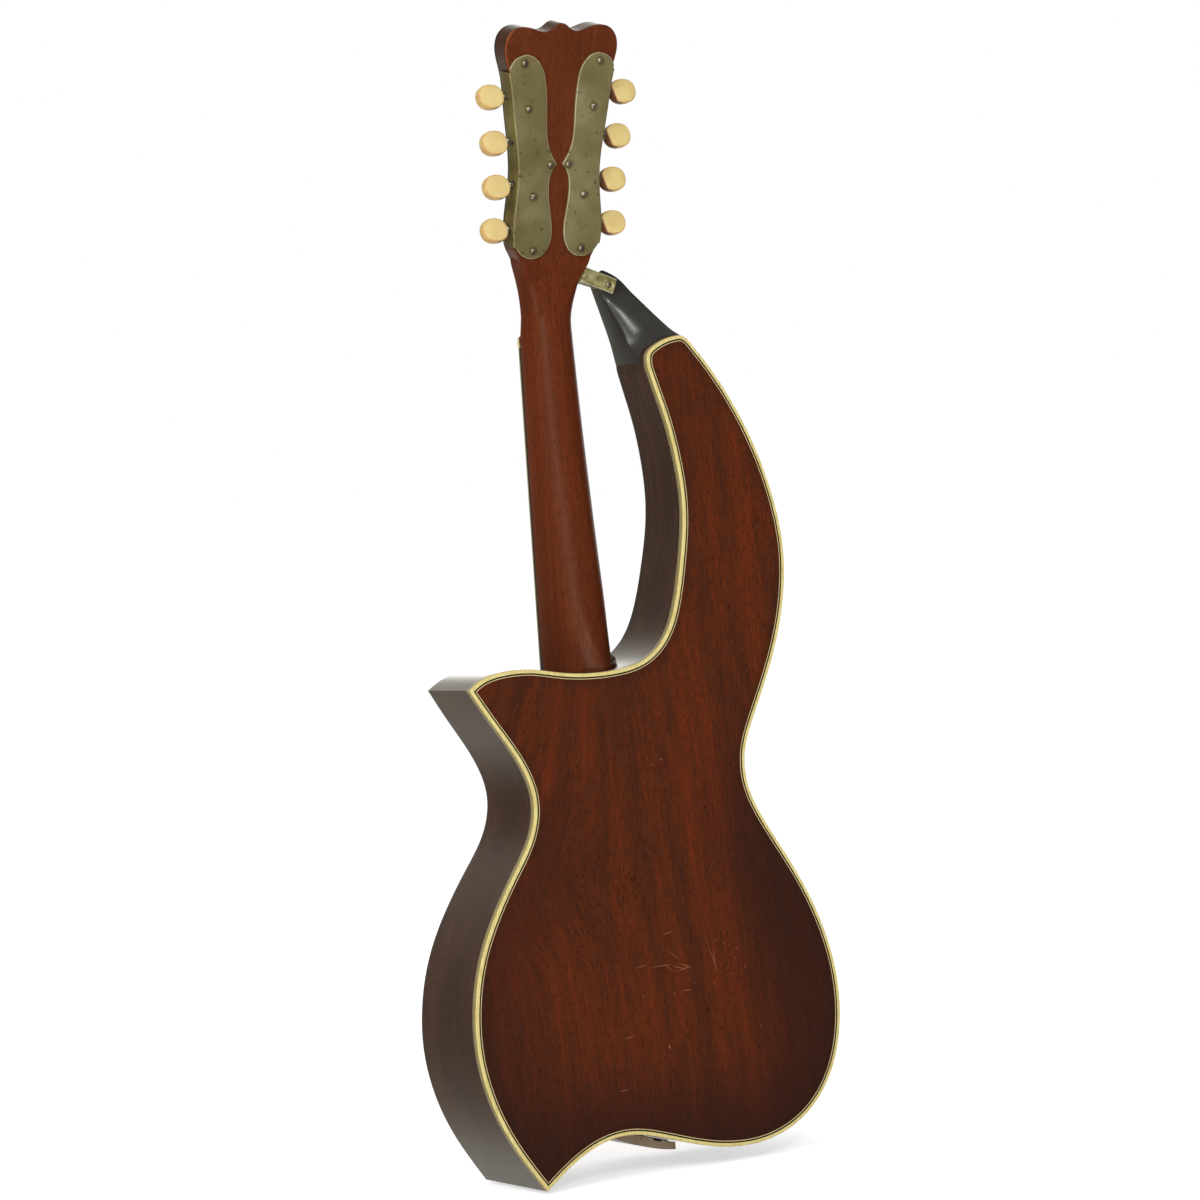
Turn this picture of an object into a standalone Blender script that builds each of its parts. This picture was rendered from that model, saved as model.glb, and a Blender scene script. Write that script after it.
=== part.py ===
"""Harp mandolin: a flat-backed mandolin whose bass side grows into a hollow harp arm.

Lengths are in millimetres until a mesh is made, and the mesh is in metres.
X runs across the instrument, treble side positive. Y runs from the strings to the back.
Z runs up the neck. The origin is on the neck's centre line, at the nut's line and in the
plane of the top plate's outer face.
"""
import math

import bmesh
import bpy
import numpy as np
from mathutils import Vector

MM = 0.001
GAP = 0.3

# Driving dimensions of the whole instrument
SCALE_LENGTH = 352.4
FRET_COUNT = 17
STRING_COUNT = 8
BACK_DEPTH_AT_NUT_LINE = 33.5
BACK_TAPER = 0.084
PLATE_THICKNESS = 2.6
BACK_THICKNESS = 2.4
RIM_THICKNESS = 2.0
BINDING_WIDTH = 2.0
TOP_BINDING_HEIGHT = 2.0
BACK_BINDING_HEIGHT = 3.0
LINING_WIDTH = 5.5
LINING_HEIGHT = 7.0
OUTLINE_STEP = 11.0

# Driving dimensions of the neck, fingerboard and nut
NUT_HALF_WIDTH = 14.3
NUT_THICKNESS = 5.0
BOARD_WIDENING = 0.021
BOARD_THICKNESS = 5.0
BOARD_END = -225.0
FRET_HEIGHT = 0.9

# Driving dimensions of the bridge, the tailpiece and its cover
SADDLE_TOP = -10.2
TAILPIECE_HALF_WIDTH = 19.0
TAILPIECE_TOP = -398.0
HOOK_HEIGHT = -408.0
HOOK_PLACES = (-11.4, -3.8, 3.8, 11.4)
COVER_HALF_WIDTH = 21.2
COVER_STANDOFF = 4.9
COVER_WRAP = 30.0

# Driving dimensions of the strap between the harp arm and the headstock
BRACKET_LENGTH = 21.8
BRACKET_WIDTH = 8.6
BRACKET_SHEET = 1.0
BRACKET_SLOPE = math.radians(22.5)

# Driving dimensions of the headstock and its tuners
HEAD_TILT = math.radians(13.54)
HEAD_BACK_DEPTH = 8.9
HEAD_WOOD = 11.7
HEAD_VENEER = 1.2
TUNER_SPACING = 23.8
FIRST_SHAFT_HEIGHT = 64.2
TREBLE_SHAFT_DROP = 0.8
SHAFT_DEPTH = 3.9
SHAFT_RADIUS = 1.5
GEAR_TEETH = 14
WORM_TO_GEAR = 6.9
WORM_TIP_RADIUS = 2.8
WORM_CORE_RADIUS = 1.7
GEAR_TIP_RADIUS = 4.9
GEAR_ROOT_RADIUS = 3.8
GEAR_THICKNESS = 2.0
POST_RADIUS = 3.0
POST_WAIST = 2.4
POST_REACH = 8.5
PLATE_SHEET = 1.0
FLANGE_DEPTH = 9.5

# Stations for the four tuners of each side, from the nut end up
POST_OFFSETS = (14.6, 15.2, 16.6, 18.6)
BUTTON_CENTRES = (36.4, 35.8, 38.0, 41.0)
BUTTON_TURNS_TREBLE = (44.0, 34.0, 30.0, 38.0)
BUTTON_TURNS_BASS = (42.0, 42.0, 42.0, 44.0)
BUTTON_HALF_LENGTH = 8.0
BUTTON_HALF_WIDTH = 7.2
BUTTON_HALF_THICKNESS = 2.6

# The body's outline seen from the strings, as (x, z), clockwise from the harp arm's inner corner
ARM_INNER_AND_CUTAWAY = [
    (-43.0, -10.1), (-42.2, -14.5), (-43.3, -21.5), (-45.2, -29.0), (-49.3, -46.0), (-52.5, -68.0),
    (-53.3, -86.0), (-51.6, -104.0), (-47.6, -122.0), (-41.3, -143.5), (-31.5, -162.5), (-16.6, -173.8),
    (1.0, -177.3), (17.6, -177.4), (34.4, -175.4), (51.0, -172.2), (67.8, -171.9), (81.0, -174.6),
    (89.9, -179.7),
]
TREBLE_SIDE = [
    (89.9, -179.7), (80.3, -196.0), (66.6, -218.5), (60.0, -240.5), (64.0, -258.5), (76.5, -277.5),
    (91.0, -298.5), (102.6, -321.0), (109.4, -346.0), (111.0, -366.0), (107.6, -391.0), (98.6, -415.0),
    (80.4, -444.5),
]
BASS_SIDE = [
    (80.4, -444.5), (58.1, -430.1), (41.0, -423.7), (26.0, -422.6), (8.0, -426.6), (-14.3, -433.6),
    (-32.0, -437.2), (-54.5, -437.1), (-73.0, -431.6), (-90.0, -420.0), (-102.6, -403.0), (-110.0, -382.0),
    (-112.2, -358.0), (-107.8, -329.0), (-95.0, -296.0), (-79.3, -266.8), (-72.0, -247.5), (-72.3, -230.0),
    (-80.2, -211.5), (-91.5, -191.0), (-102.3, -168.0), (-109.3, -146.0), (-112.8, -121.0), (-110.7, -94.5),
    (-104.5, -69.0), (-93.5, -41.5), (-80.7, -19.0), (-70.2, -4.3),
]
ARM_END = [
    (-70.2, -4.3), (-67.2, -1.8), (-64.0, -1.0), (-60.6, -1.3), (-56.2, -2.2), (-51.6, -3.8), (-47.8, -5.7),
    (-44.8, -7.7), (-43.0, -10.1),
]


def smooth_curve(points, spacing):
    """A natural cubic spline through the points, sampled about every spacing."""
    knots = np.array(points, dtype=float)
    lengths = np.linalg.norm(np.diff(knots, axis=0), axis=1)
    chord = np.concatenate(([0.0], np.cumsum(lengths)))
    count = len(knots)
    system = np.eye(count)
    pull = np.zeros_like(knots)
    for i in range(1, count - 1):
        system[i, i - 1:i + 2] = lengths[i - 1], 2.0 * (lengths[i - 1] + lengths[i]), lengths[i]
        pull[i] = 6.0 * ((knots[i + 1] - knots[i]) / lengths[i] - (knots[i] - knots[i - 1]) / lengths[i - 1])
    bend = np.linalg.solve(system, pull)
    samples = []
    for place in np.linspace(0.0, chord[-1], max(2, round(chord[-1] / spacing)) + 1):
        i = min(int(np.searchsorted(chord, place, side="right")) - 1, count - 2)
        span = lengths[i]
        a = (chord[i + 1] - place) / span
        b = (place - chord[i]) / span
        curve = ((a ** 3 - a) * bend[i] + (b ** 3 - b) * bend[i + 1]) * span * span / 6.0
        samples.append(tuple(a * knots[i] + b * knots[i + 1] + curve))
    return samples


def inset(loop, distance):
    """The closed clockwise loop moved inwards by the distance, with mitred corners."""
    moved = []
    for i, here in enumerate(loop):
        before = Vector(here) - Vector(loop[i - 1])
        after = Vector(loop[(i + 1) % len(loop)]) - Vector(here)
        first = Vector((before.y, -before.x)).normalized()
        second = Vector((after.y, -after.x)).normalized()
        mitre = (first + second).normalized()
        moved.append(tuple(Vector(here) + mitre * (distance / mitre.dot(first))))
    return moved


def back_depth(z):
    """The back plate's outer face leans, so the body is deepest at the tail."""
    return BACK_DEPTH_AT_NUT_LINE - BACK_TAPER * z


def body_outline():
    """The outline as one loop, and the loop's index of each of its sharp corners."""
    loop = []
    corners = []
    for stretch in (ARM_INNER_AND_CUTAWAY, TREBLE_SIDE, BASS_SIDE):
        corners.append(len(loop))
        loop.extend(smooth_curve(stretch, OUTLINE_STEP)[:-1])
    corners.append(len(loop))
    loop.extend(smooth_curve(ARM_END, OUTLINE_STEP / 2)[:-1])
    return loop, corners


OUTLINE, (ARM_CORNER, HORN_CORNER, TAIL_CORNER, ARM_END_CORNER) = body_outline()


def material(name, colour, roughness, metallic=0.0):
    """A plain finish; the colour is an sRGB hex value."""
    channels = [int(colour[i:i + 2], 16) / 255.0 for i in (1, 3, 5)]
    linear = [c / 12.92 if c <= 0.04045 else ((c + 0.055) / 1.055) ** 2.4 for c in channels]
    finish = bpy.data.materials.new(name)
    finish.use_nodes = True
    shader = finish.node_tree.nodes["Principled BSDF"]
    shader.inputs["Base Color"].default_value = (*linear, 1.0)
    shader.inputs["Roughness"].default_value = roughness
    shader.inputs["Metallic"].default_value = metallic
    finish.diffuse_color = (*linear, 1.0)
    return finish


def loft(mesh, sections, closed=False):
    """Faces between like-numbered rings of points, capped unless the run closes on itself."""
    rings = [[mesh.verts.new(Vector(point) * MM) for point in section] for section in sections]
    count = len(rings[0])
    pairs = list(zip(rings, rings[1:]))
    if closed:
        pairs.append((rings[-1], rings[0]))
    for first, second in pairs:
        for i in range(count):
            j = (i + 1) % count
            mesh.faces.new((first[i], first[j], second[j], second[i]))
    if not closed:
        mesh.faces.new(rings[0])
        mesh.faces.new(rings[-1])
    bmesh.ops.recalc_face_normals(mesh, faces=mesh.faces)


def place(name, mesh, finish=None, parent=None, location=(0, 0, 0), smooth_angle=None):
    """Turn the mesh into a named object at the location, in its parent's frame."""
    data = bpy.data.meshes.new(name)
    mesh.to_mesh(data)
    mesh.free()
    if smooth_angle:
        data.shade_smooth()
        data.set_sharp_from_angle(angle=math.radians(smooth_angle))
    piece = bpy.data.objects.new(name, data)
    bpy.context.scene.collection.objects.link(piece)
    piece.parent = parent
    piece.location = Vector(location) * MM
    if finish:
        data.materials.append(finish)
    return piece


def lofted(name, sections, finish=None, closed=False, parent=None, location=(0, 0, 0), smooth_angle=None):
    """A single lofted solid as a named object."""
    mesh = bmesh.new()
    loft(mesh, sections, closed)
    return place(name, mesh, finish, parent, location, smooth_angle)


def circle(radius, sides, centre=(0.0, 0.0), start=0.0):
    """Points round a circle, as pairs."""
    turn = 2.0 * math.pi / sides
    return [(centre[0] + radius * math.cos(start + turn * i), centre[1] + radius * math.sin(start + turn * i))
            for i in range(sides)]


def boolean(piece, tool, operation="DIFFERENCE"):
    """Cut the piece with a hidden tool, or join the tool to it."""
    change = piece.modifiers.new(operation.lower(), "BOOLEAN")
    change.object = tool
    change.operation = operation
    change.solver = "EXACT"
    tool.hide_render = True
    tool.display_type = "WIRE"


def bevelled(piece, width, segments=1, angle=40.0):
    """Break the piece's sharp edges."""
    edge = piece.modifiers.new("edges", "BEVEL")
    edge.width = width * MM
    edge.segments = segments
    edge.limit_method = "ANGLE"
    edge.angle_limit = math.radians(angle)


def box(name, low, high, finish=None, parent=None, location=(0, 0, 0)):
    """A plain block between two corners."""
    corners = [(low[0], low[1]), (high[0], low[1]), (high[0], high[1]), (low[0], high[1])]
    sections = [[(x, y, z) for x, y in corners] for z in (low[2], high[2])]
    return lofted(name, sections, finish, parent=parent, location=location)


def frame_empty(name, location, rotation_x=0.0, rotation_y=0.0):
    """An empty that carries a group of pieces."""
    empty = bpy.data.objects.new(name, None)
    bpy.context.scene.collection.objects.link(empty)
    empty.location = Vector(location) * MM
    empty.rotation_euler = (rotation_x, rotation_y, 0.0)
    return empty


def wall_band(outer, inner, near, far):
    """Four-point sections of a wall that follows an outline; near and far give its edges' depth."""
    return [[(x, near(z), z), (x, far(z), z), (u, far(w), w), (u, near(w), w)]
            for (x, z), (u, w) in zip(outer, inner)]


def plate(name, loop, near, far, finish):
    """A flat plate with the loop's outline."""
    return lofted(name, [[(x, near(z), z) for x, z in loop], [(x, far(z), z) for x, z in loop]], finish)


def make_plates(spruce, mahogany):
    """The spruce top with its soundhole, and the mahogany back."""
    edge = inset(OUTLINE, BINDING_WIDTH + GAP)
    top = plate("top_plate", edge, lambda z: 0.0, lambda z: PLATE_THICKNESS, spruce)
    plate("back_plate", edge, lambda z: back_depth(z) - BACK_THICKNESS, back_depth, mahogany)
    soundhole_radius = 22.0
    soundhole_z = -262.0
    ring = circle(soundhole_radius, 32, (0.0, soundhole_z))
    cutter = lofted("soundhole_cutter", [[(x, y, z) for x, z in ring] for y in (-10.0, 15.0)])
    boolean(top, cutter)


def make_bindings(black_celluloid, ivoroid):
    """A black strip let into the top's edge, and an ivoroid one let into the back's."""
    inner = inset(OUTLINE, BINDING_WIDTH)
    top = wall_band(OUTLINE, inner, lambda z: 0.0, lambda z: TOP_BINDING_HEIGHT)
    back = wall_band(OUTLINE, inner, lambda z: back_depth(z) - BACK_BINDING_HEIGHT, back_depth)
    lofted("top_binding", top, black_celluloid, closed=True, smooth_angle=30)
    lofted("back_binding", back, ivoroid, closed=True, smooth_angle=30)


def make_rim(stained_mahogany):
    """Four bent sides, which meet at the horn, the tail and the end of the harp arm."""
    inner = inset(OUTLINE, RIM_THICKNESS)
    mid_cutaway = next(i for i, (x, _) in enumerate(OUTLINE) if x > 0.0)
    stretches = {
        "rim_harp_arm": (ARM_CORNER, mid_cutaway),
        "rim_cutaway": (mid_cutaway, HORN_CORNER),
        "rim_treble": (HORN_CORNER, TAIL_CORNER),
        "rim_bass": (TAIL_CORNER, ARM_END_CORNER),
    }
    for name, (start, end) in stretches.items():
        outside = [Vector(OUTLINE[i]) for i in range(start, end + 1)]
        inside = [Vector(inner[i]) for i in range(start, end + 1)]
        for side in (outside, inside):
            side[0] += (side[1] - side[0]).normalized() * GAP / 2
            side[-1] += (side[-2] - side[-1]).normalized() * GAP / 2
        band = wall_band(outside, inside, lambda z: TOP_BINDING_HEIGHT + GAP,
                         lambda z: back_depth(z) - BACK_BINDING_HEIGHT - GAP)
        lofted(name, band, stained_mahogany, smooth_angle=30)


def lining_sections(grow=0.0):
    """The top and back linings as closed bands, grown all round for use as a cutter."""
    outer = inset(OUTLINE, RIM_THICKNESS + GAP - grow)
    inner = inset(OUTLINE, RIM_THICKNESS + GAP + LINING_WIDTH + grow)
    first = PLATE_THICKNESS + GAP - grow
    last = PLATE_THICKNESS + GAP + LINING_HEIGHT + grow
    under_back = BACK_THICKNESS + GAP - grow
    top = wall_band(outer, inner, lambda z: first, lambda z: last)
    back = wall_band(outer, inner, lambda z: back_depth(z) - under_back - LINING_HEIGHT - 2 * grow,
                     lambda z: back_depth(z) - under_back)
    return top, back


def make_linings_and_blocks(basswood, mahogany_block):
    """Strips that glue the plates to the rim, and the blocks behind the neck and the tailpiece."""
    top, back = lining_sections()
    lofted("top_lining", top, basswood, closed=True)
    lofted("back_lining", back, basswood, closed=True)
    blocks = {
        "neck_block": ((-24.0, -208.0), (24.0, -180.4)),
        "tail_block": ((-22.0, -416.0), (36.0, -394.0)),
    }
    grown_top, grown_back = lining_sections(GAP)
    for name, ((x_low, z_low), (x_high, z_high)) in blocks.items():
        sections = []
        for z in (z_low, z_high):
            near = PLATE_THICKNESS + GAP
            far = back_depth(z) - BACK_THICKNESS - GAP
            sections.append([(x_low, near, z), (x_high, near, z), (x_high, far, z), (x_low, far, z)])
        block = lofted(name, sections, mahogany_block)
        for sections in (grown_top, grown_back):
            cutter = lofted(name + "_lining_cutter", sections, closed=True)
            boolean(block, cutter)


def make_braces(spruce_brace):
    """Ladder braces across the plates, their ends carved down short of the linings."""
    height = 9.0
    end_height = 3.0
    half_thickness = 3.5
    scallop = 14.0
    braces = {
        "top_brace_upper": (-236.0, -61.0, 49.0, False),
        "top_brace_lower": (-308.0, -88.0, 82.0, False),
        "back_brace_upper": (-230.0, -62.0, 50.0, True),
        "back_brace_lower": (-350.0, -100.0, 99.0, True),
    }
    for name, (z, x_low, x_high, on_back) in braces.items():
        sections = []
        for edge in (z - half_thickness, z + half_thickness):
            base = back_depth(edge) - BACK_THICKNESS - GAP if on_back else PLATE_THICKNESS + GAP
            rise = -1.0 if on_back else 1.0
            sections.append([
                (x_low, base, edge), (x_high, base, edge), (x_high, base + rise * end_height, edge),
                (x_high - scallop, base + rise * height, edge), (x_low + scallop, base + rise * height, edge),
                (x_low, base + rise * end_height, edge)])
        lofted(name, sections, spruce_brace)


def make_arm_tip(ebonised):
    """The carved solid end of the harp arm, which falls away towards the bracket."""
    # Each station: inner edge (x, z), outer edge (x, z), back height inside and outside, bulge
    stations = [
        ((-43.4, -15.0), (-71.4, -7.4), 30.4, 30.6, 4.8),
        ((-42.2, -10.6), (-68.3, -2.0), 26.4, 30.4, 4.4),
        ((-40.8, -5.5), (-64.9, 1.6), 19.6, 27.8, 3.2),
        ((-38.8, 1.2), (-62.2, 6.4), 16.4, 23.2, 2.2),
        ((-36.4, 9.3), (-58.4, 12.9), 13.9, 19.2, 1.4),
        ((-33.9, 17.5), (-53.2, 19.6), 11.4, 14.6, 1.0),
        ((-32.2, 23.0), (-49.4, 25.0), 10.4, 11.2, 0.8),
        ((-30.6, 28.4), (-45.2, 29.8), 10.6, 10.9, 1.0),
        ((-29.6, 32.0), (-41.4, 33.2), 10.8, 11.0, 1.6),
        ((-29.4, 34.8), (-37.6, 35.7), 10.8, 10.9, 1.6),
        ((-30.6, 36.8), (-34.6, 37.1), 10.8, 10.8, 0.8),
    ]
    across = 5
    sections = []
    for (x_in, z_in), (x_out, z_out), depth_in, depth_out, bulge in stations:
        chord = Vector((x_out - x_in, z_out - z_in))
        outwards = Vector((chord.y, -chord.x)).normalized()
        front = []
        back = []
        for i in range(across):
            share = i / (across - 1)
            spot = Vector((x_in, z_in)) + chord * share + outwards * bulge * math.sin(math.pi * share)
            front.append((spot.x, 0.0, spot.y))
            back.append((spot.x, depth_in + (depth_out - depth_in) * share, spot.y))
        sections.append(front + back[::-1])
    tip = lofted("arm_tip", sections, ebonised, smooth_angle=40)
    guard = lofted("arm_tip_cutter", [[(x, y, z) for x, z in inset(OUTLINE, -GAP)] for y in (-20.0, 90.0)])
    boolean(tip, guard)


def head_front(z):
    """Depth of the headstock wood's front face at a height."""
    return HEAD_BACK_DEPTH - HEAD_WOOD / math.cos(HEAD_TILT) + z * math.tan(HEAD_TILT)


def head_back(z):
    """Depth of the headstock wood's back face at a height."""
    return HEAD_BACK_DEPTH + z * math.tan(HEAD_TILT)


# Half of the headstock's outline: (distance from the centre line, distance up the headstock)
HEAD_HALF = [
    (22.0, 47.0), (24.9, 52.5), (26.0, 59.0), (26.0, 66.0), (24.8, 79.0), (23.9, 92.0), (24.6, 104.0),
    (26.3, 116.0), (28.4, 131.0), (31.0, 147.0), (33.6, 156.0), (34.1, 162.0), (32.6, 167.0), (29.0, 170.6),
    (23.0, 171.9), (15.5, 170.4), (9.8, 169.0), (5.2, 170.6), (2.0, 172.9), (0.0, 173.4),
]


HEAD_EDGE = smooth_curve(HEAD_HALF, 5.0)


def head_outline():
    """The whole headstock outline, from the treble side's foot over the top."""
    return HEAD_EDGE + [(-u, v) for u, v in HEAD_EDGE[-2::-1]]


def neck_section(z, half_width, back, squareness, front):
    """The neck's section: flat in front, and round or squared behind."""
    points = []
    steps = 12
    for i in range(steps + 1):
        turn = math.pi * i / steps
        reach = abs(math.cos(turn)) ** (2.0 / squareness)
        depth = abs(math.sin(turn)) ** (2.0 / squareness)
        points.append((math.copysign(half_width * reach, math.cos(turn)), front + (back - front) * depth, z))
    return points


def make_neck(mahogany, head_frame):
    """The neck, its heel and the headstock, carved from one piece."""
    # Each station: height, half width, depth of the back and how square the section is
    shaft = [
        (-181.0, 21.4, 42.0, 2.3), (-176.0, 20.3, 38.2, 2.3), (-171.5, 19.2, 34.0, 2.2),
        (-165.0, 18.5, 30.0, 2.2), (-155.0, 18.1, 26.8, 2.2), (-141.0, 17.6, 24.4, 2.2),
        (-120.0, 17.0, 22.2, 2.2), (-97.0, 16.5, 20.0, 2.2), (-64.0, 15.8, 17.2, 2.2),
        (-30.0, 15.0, 15.4, 2.2), (0.0, 14.4, 14.7, 2.2), (NUT_THICKNESS + 0.2, 14.3, 14.6, 2.2),
    ]
    sections = [neck_section(*station, 0.0) for station in shaft]
    throat = [
        (NUT_THICKNESS + 0.4, 14.3, 14.6, 2.2), (12.0, 14.3, 14.6, 2.6), (20.0, 14.9, 15.2, 3.2),
        (27.0, 15.8, 16.3, 4.4), (33.0, 17.1, head_back(33.0), 6.0), (39.0, 19.2, head_back(39.0), 9.0),
        (44.5, 21.4, head_back(44.5) - 0.05, 14.0), (49.0, 22.4, head_back(49.0) - 0.05, 14.0),
    ]
    sections += [neck_section(*station, head_front(station[0]) + 0.05) for station in throat]
    neck = lofted("neck", sections, mahogany, smooth_angle=35)
    outline = head_outline()
    faces = [[(u, y, v) for u, v in outline] for y in (-HEAD_WOOD, 0.0)]
    block = lofted("headstock_tool", faces, parent=head_frame)
    boolean(neck, block, "UNION")
    body = lofted("neck_heel_cutter", [[(x, y, z) for x, z in inset(OUTLINE, -GAP)] for y in (-20.0, 90.0)])
    boolean(neck, body)
    return neck


def make_headstock_veneer(ebonised, head_frame):
    """A thin black face on the front of the headstock."""
    foot = [(14.3, 2.9), (14.3, 12.0), (14.9, 21.0), (16.6, 32.0), (19.3, 40.0)]
    lower = smooth_curve(foot, 8.0)
    outline = lower + head_outline() + [(-u, v) for u, v in lower[::-1]]
    near = -HEAD_WOOD - GAP
    far = near - HEAD_VENEER
    return lofted("headstock_veneer", [[(u, y, v) for u, v in outline] for y in (far, near)], ebonised,
                  parent=head_frame)


def tuner_stations():
    """Side, number, shaft height, post offset, button centre and button turn for each tuner."""
    for side, label, turns in ((1, "treble", BUTTON_TURNS_TREBLE), (-1, "bass", BUTTON_TURNS_BASS)):
        drop = TREBLE_SHAFT_DROP if side > 0 else 0.0
        for i in range(4):
            height = FIRST_SHAFT_HEIGHT - drop + TUNER_SPACING * i
            yield side, f"{label}_{i + 1}", height, POST_OFFSETS[i], BUTTON_CENTRES[i], turns[i]


def make_head_cutters(neck, veneer, head_frame):
    """Pockets for the gears, and holes for the posts and shafts."""
    pockets = bmesh.new()
    posts = bmesh.new()
    shafts = bmesh.new()
    for side, _, height, offset, _, _ in tuner_stations():
        x = side * offset
        near, far = x - 6.2, x + 6.2
        low, high = height - 4.2, height + WORM_TO_GEAR + 5.8
        corners = [(near, low), (far, low), (far, high), (near, high)]
        loft(pockets, [[(u, y, v) for u, v in corners] for y in (-7.2, 2.0)])
        ring = circle(POST_RADIUS + GAP, 12, (x, height + WORM_TO_GEAR))
        loft(posts, [[(u, y, v) for u, v in ring] for y in (-20.0, -6.0)])
        ring = circle(SHAFT_RADIUS + GAP + 0.1, 8, (-SHAFT_DEPTH, height))
        loft(shafts, [[(u, y, v) for y, v in ring] for u in (side * (offset + 3.0), side * 45.0)])
    pocket_tool = place("gear_pocket_cutter", pockets, parent=head_frame)
    post_tool = place("post_hole_cutter", posts, parent=head_frame)
    shaft_tool = place("shaft_hole_cutter", shafts, parent=head_frame)
    boolean(neck, pocket_tool)
    boolean(neck, post_tool)
    boolean(neck, shaft_tool)
    boolean(veneer, post_tool)
    return shaft_tool


# Half of a tuner cover plate from its top end round the inner edge: (u, v) up the headstock
COVER_INNER_UPPER = [
    (22.3, 157.4), (18.0, 156.4), (14.2, 153.2), (11.4, 148.6), (9.9, 142.6), (9.0, 135.0), (8.5, 125.0),
    (8.1, 115.0), (6.8, 107.5), (4.3, 101.9), (1.8, 98.1),
]
COVER_INNER_LOWER = [
    (1.8, 98.1), (4.0, 95.3), (5.8, 90.8), (6.3, 85.0), (5.8, 78.0), (4.6, 70.5), (3.7, 62.8), (4.1, 57.8),
    (6.1, 52.5), (9.8, 48.7), (14.8, 47.3), (19.6, 48.2), (23.4, 51.0),
]
COVER_SHOULDER = [(31.8, 150.4), (29.0, 154.6), (22.3, 157.4)]
COVER_SCREWS = ((23.0, 152.8), (19.8, 128.2), (5.5, 97.7), (15.4, 80.9), (14.8, 51.7))
FLANGE_RUN = (53.0, 149.0)


def screw_dome(mesh, x, y, z, radius=2.1, height=1.3):
    """A round screw head that stands on a plate, sunk a little into it."""
    rings = ((radius, -0.4), (radius, 0.0), (radius * 0.8, height * 0.7), (radius * 0.35, height))
    loft(mesh, [[(u, y + rise, v) for u, v in circle(size, 8, (x, z))] for size, rise in rings])


def make_tuner_plate(side, label, nickel, head_frame, shaft_tool):
    """A dog-bone cover of nickel silver with its side flange and five round-head screws."""
    beside = [(u + GAP, v) for u, v in HEAD_EDGE if FLANGE_RUN[0] < v < FLANGE_RUN[1]]
    edge = [(u + PLATE_SHEET / 2, v) for u, v in beside]
    outline = smooth_curve(COVER_INNER_UPPER, 5.0)[:-1] + smooth_curve(COVER_INNER_LOWER, 5.0) + edge
    outline += smooth_curve(COVER_SHOULDER, 5.0)[:-1]
    cover = lofted(f"tuner_plate_{label}",
                   [[(side * u, y, v) for u, v in outline] for y in (GAP, GAP + PLATE_SHEET)],
                   nickel, parent=head_frame)
    flange = []
    for u, v in beside:
        inner = side * u
        outer = side * (u + PLATE_SHEET)
        top = GAP + PLATE_SHEET - 0.1
        corners = [(inner, top), (outer, top), (outer, -FLANGE_DEPTH), (inner, -FLANGE_DEPTH)]
        flange.append([(x, y, v) for x, y in corners])
    flange_tool = lofted(f"tuner_flange_tool_{label}", flange, parent=head_frame)
    boolean(cover, flange_tool, "UNION")
    screws = bmesh.new()
    for u, v in COVER_SCREWS:
        screw_dome(screws, side * u, GAP + PLATE_SHEET, v)
    screw_tool = place(f"tuner_screws_tool_{label}", screws, parent=head_frame)
    boolean(cover, screw_tool, "UNION")
    boolean(cover, shaft_tool)


def worm_pitch():
    """The worm's pitch is the gear's tooth spacing where the two mesh."""
    return 2.0 * math.pi * (WORM_TO_GEAR - (WORM_TIP_RADIUS + WORM_CORE_RADIUS) / 2) / GEAR_TEETH


def worm_rows(mesh, centre, turns, sides):
    """A right-handed screw thread along X whose rows follow the helix, as lists of vertices by angle."""
    pitch = worm_pitch()
    half = turns * pitch / 2
    root, crest_top = WORM_CORE_RADIUS, WORM_TIP_RADIUS
    profile = ((-0.24, root), (-0.09, crest_top), (0.09, crest_top), (0.24, root))
    columns = []
    for i in range(sides):
        turn = 2.0 * math.pi * i / sides
        column = []
        for crest in range(-math.ceil(turns / 2) - 2, math.ceil(turns / 2) + 3):
            for offset, radius in profile:
                # A crest faces the gear, a quarter turn from Y, half way along the worm
                along = (crest + offset + i / sides - 0.25) * pitch
                if abs(along) >= half:
                    along = math.copysign(half, along)
                    radius = WORM_CORE_RADIUS
                spot = Vector((centre + along, radius * math.cos(turn), radius * math.sin(turn)))
                column.append(mesh.verts.new(spot * MM))
        columns.append(column)
    # Once round the worm, a row meets the row one whole thread further on
    columns.append(columns[0][len(profile):] + [columns[0][-1]] * len(profile))
    for first, second in zip(columns, columns[1:]):
        for row in range(len(first) - 1):
            corners = (first[row], first[row + 1], second[row + 1], second[row])
            mesh.faces.new(dict.fromkeys(corners))
    return [column[0] for column in columns[:-1]], [column[-1] for column in columns[:-1]]


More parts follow.
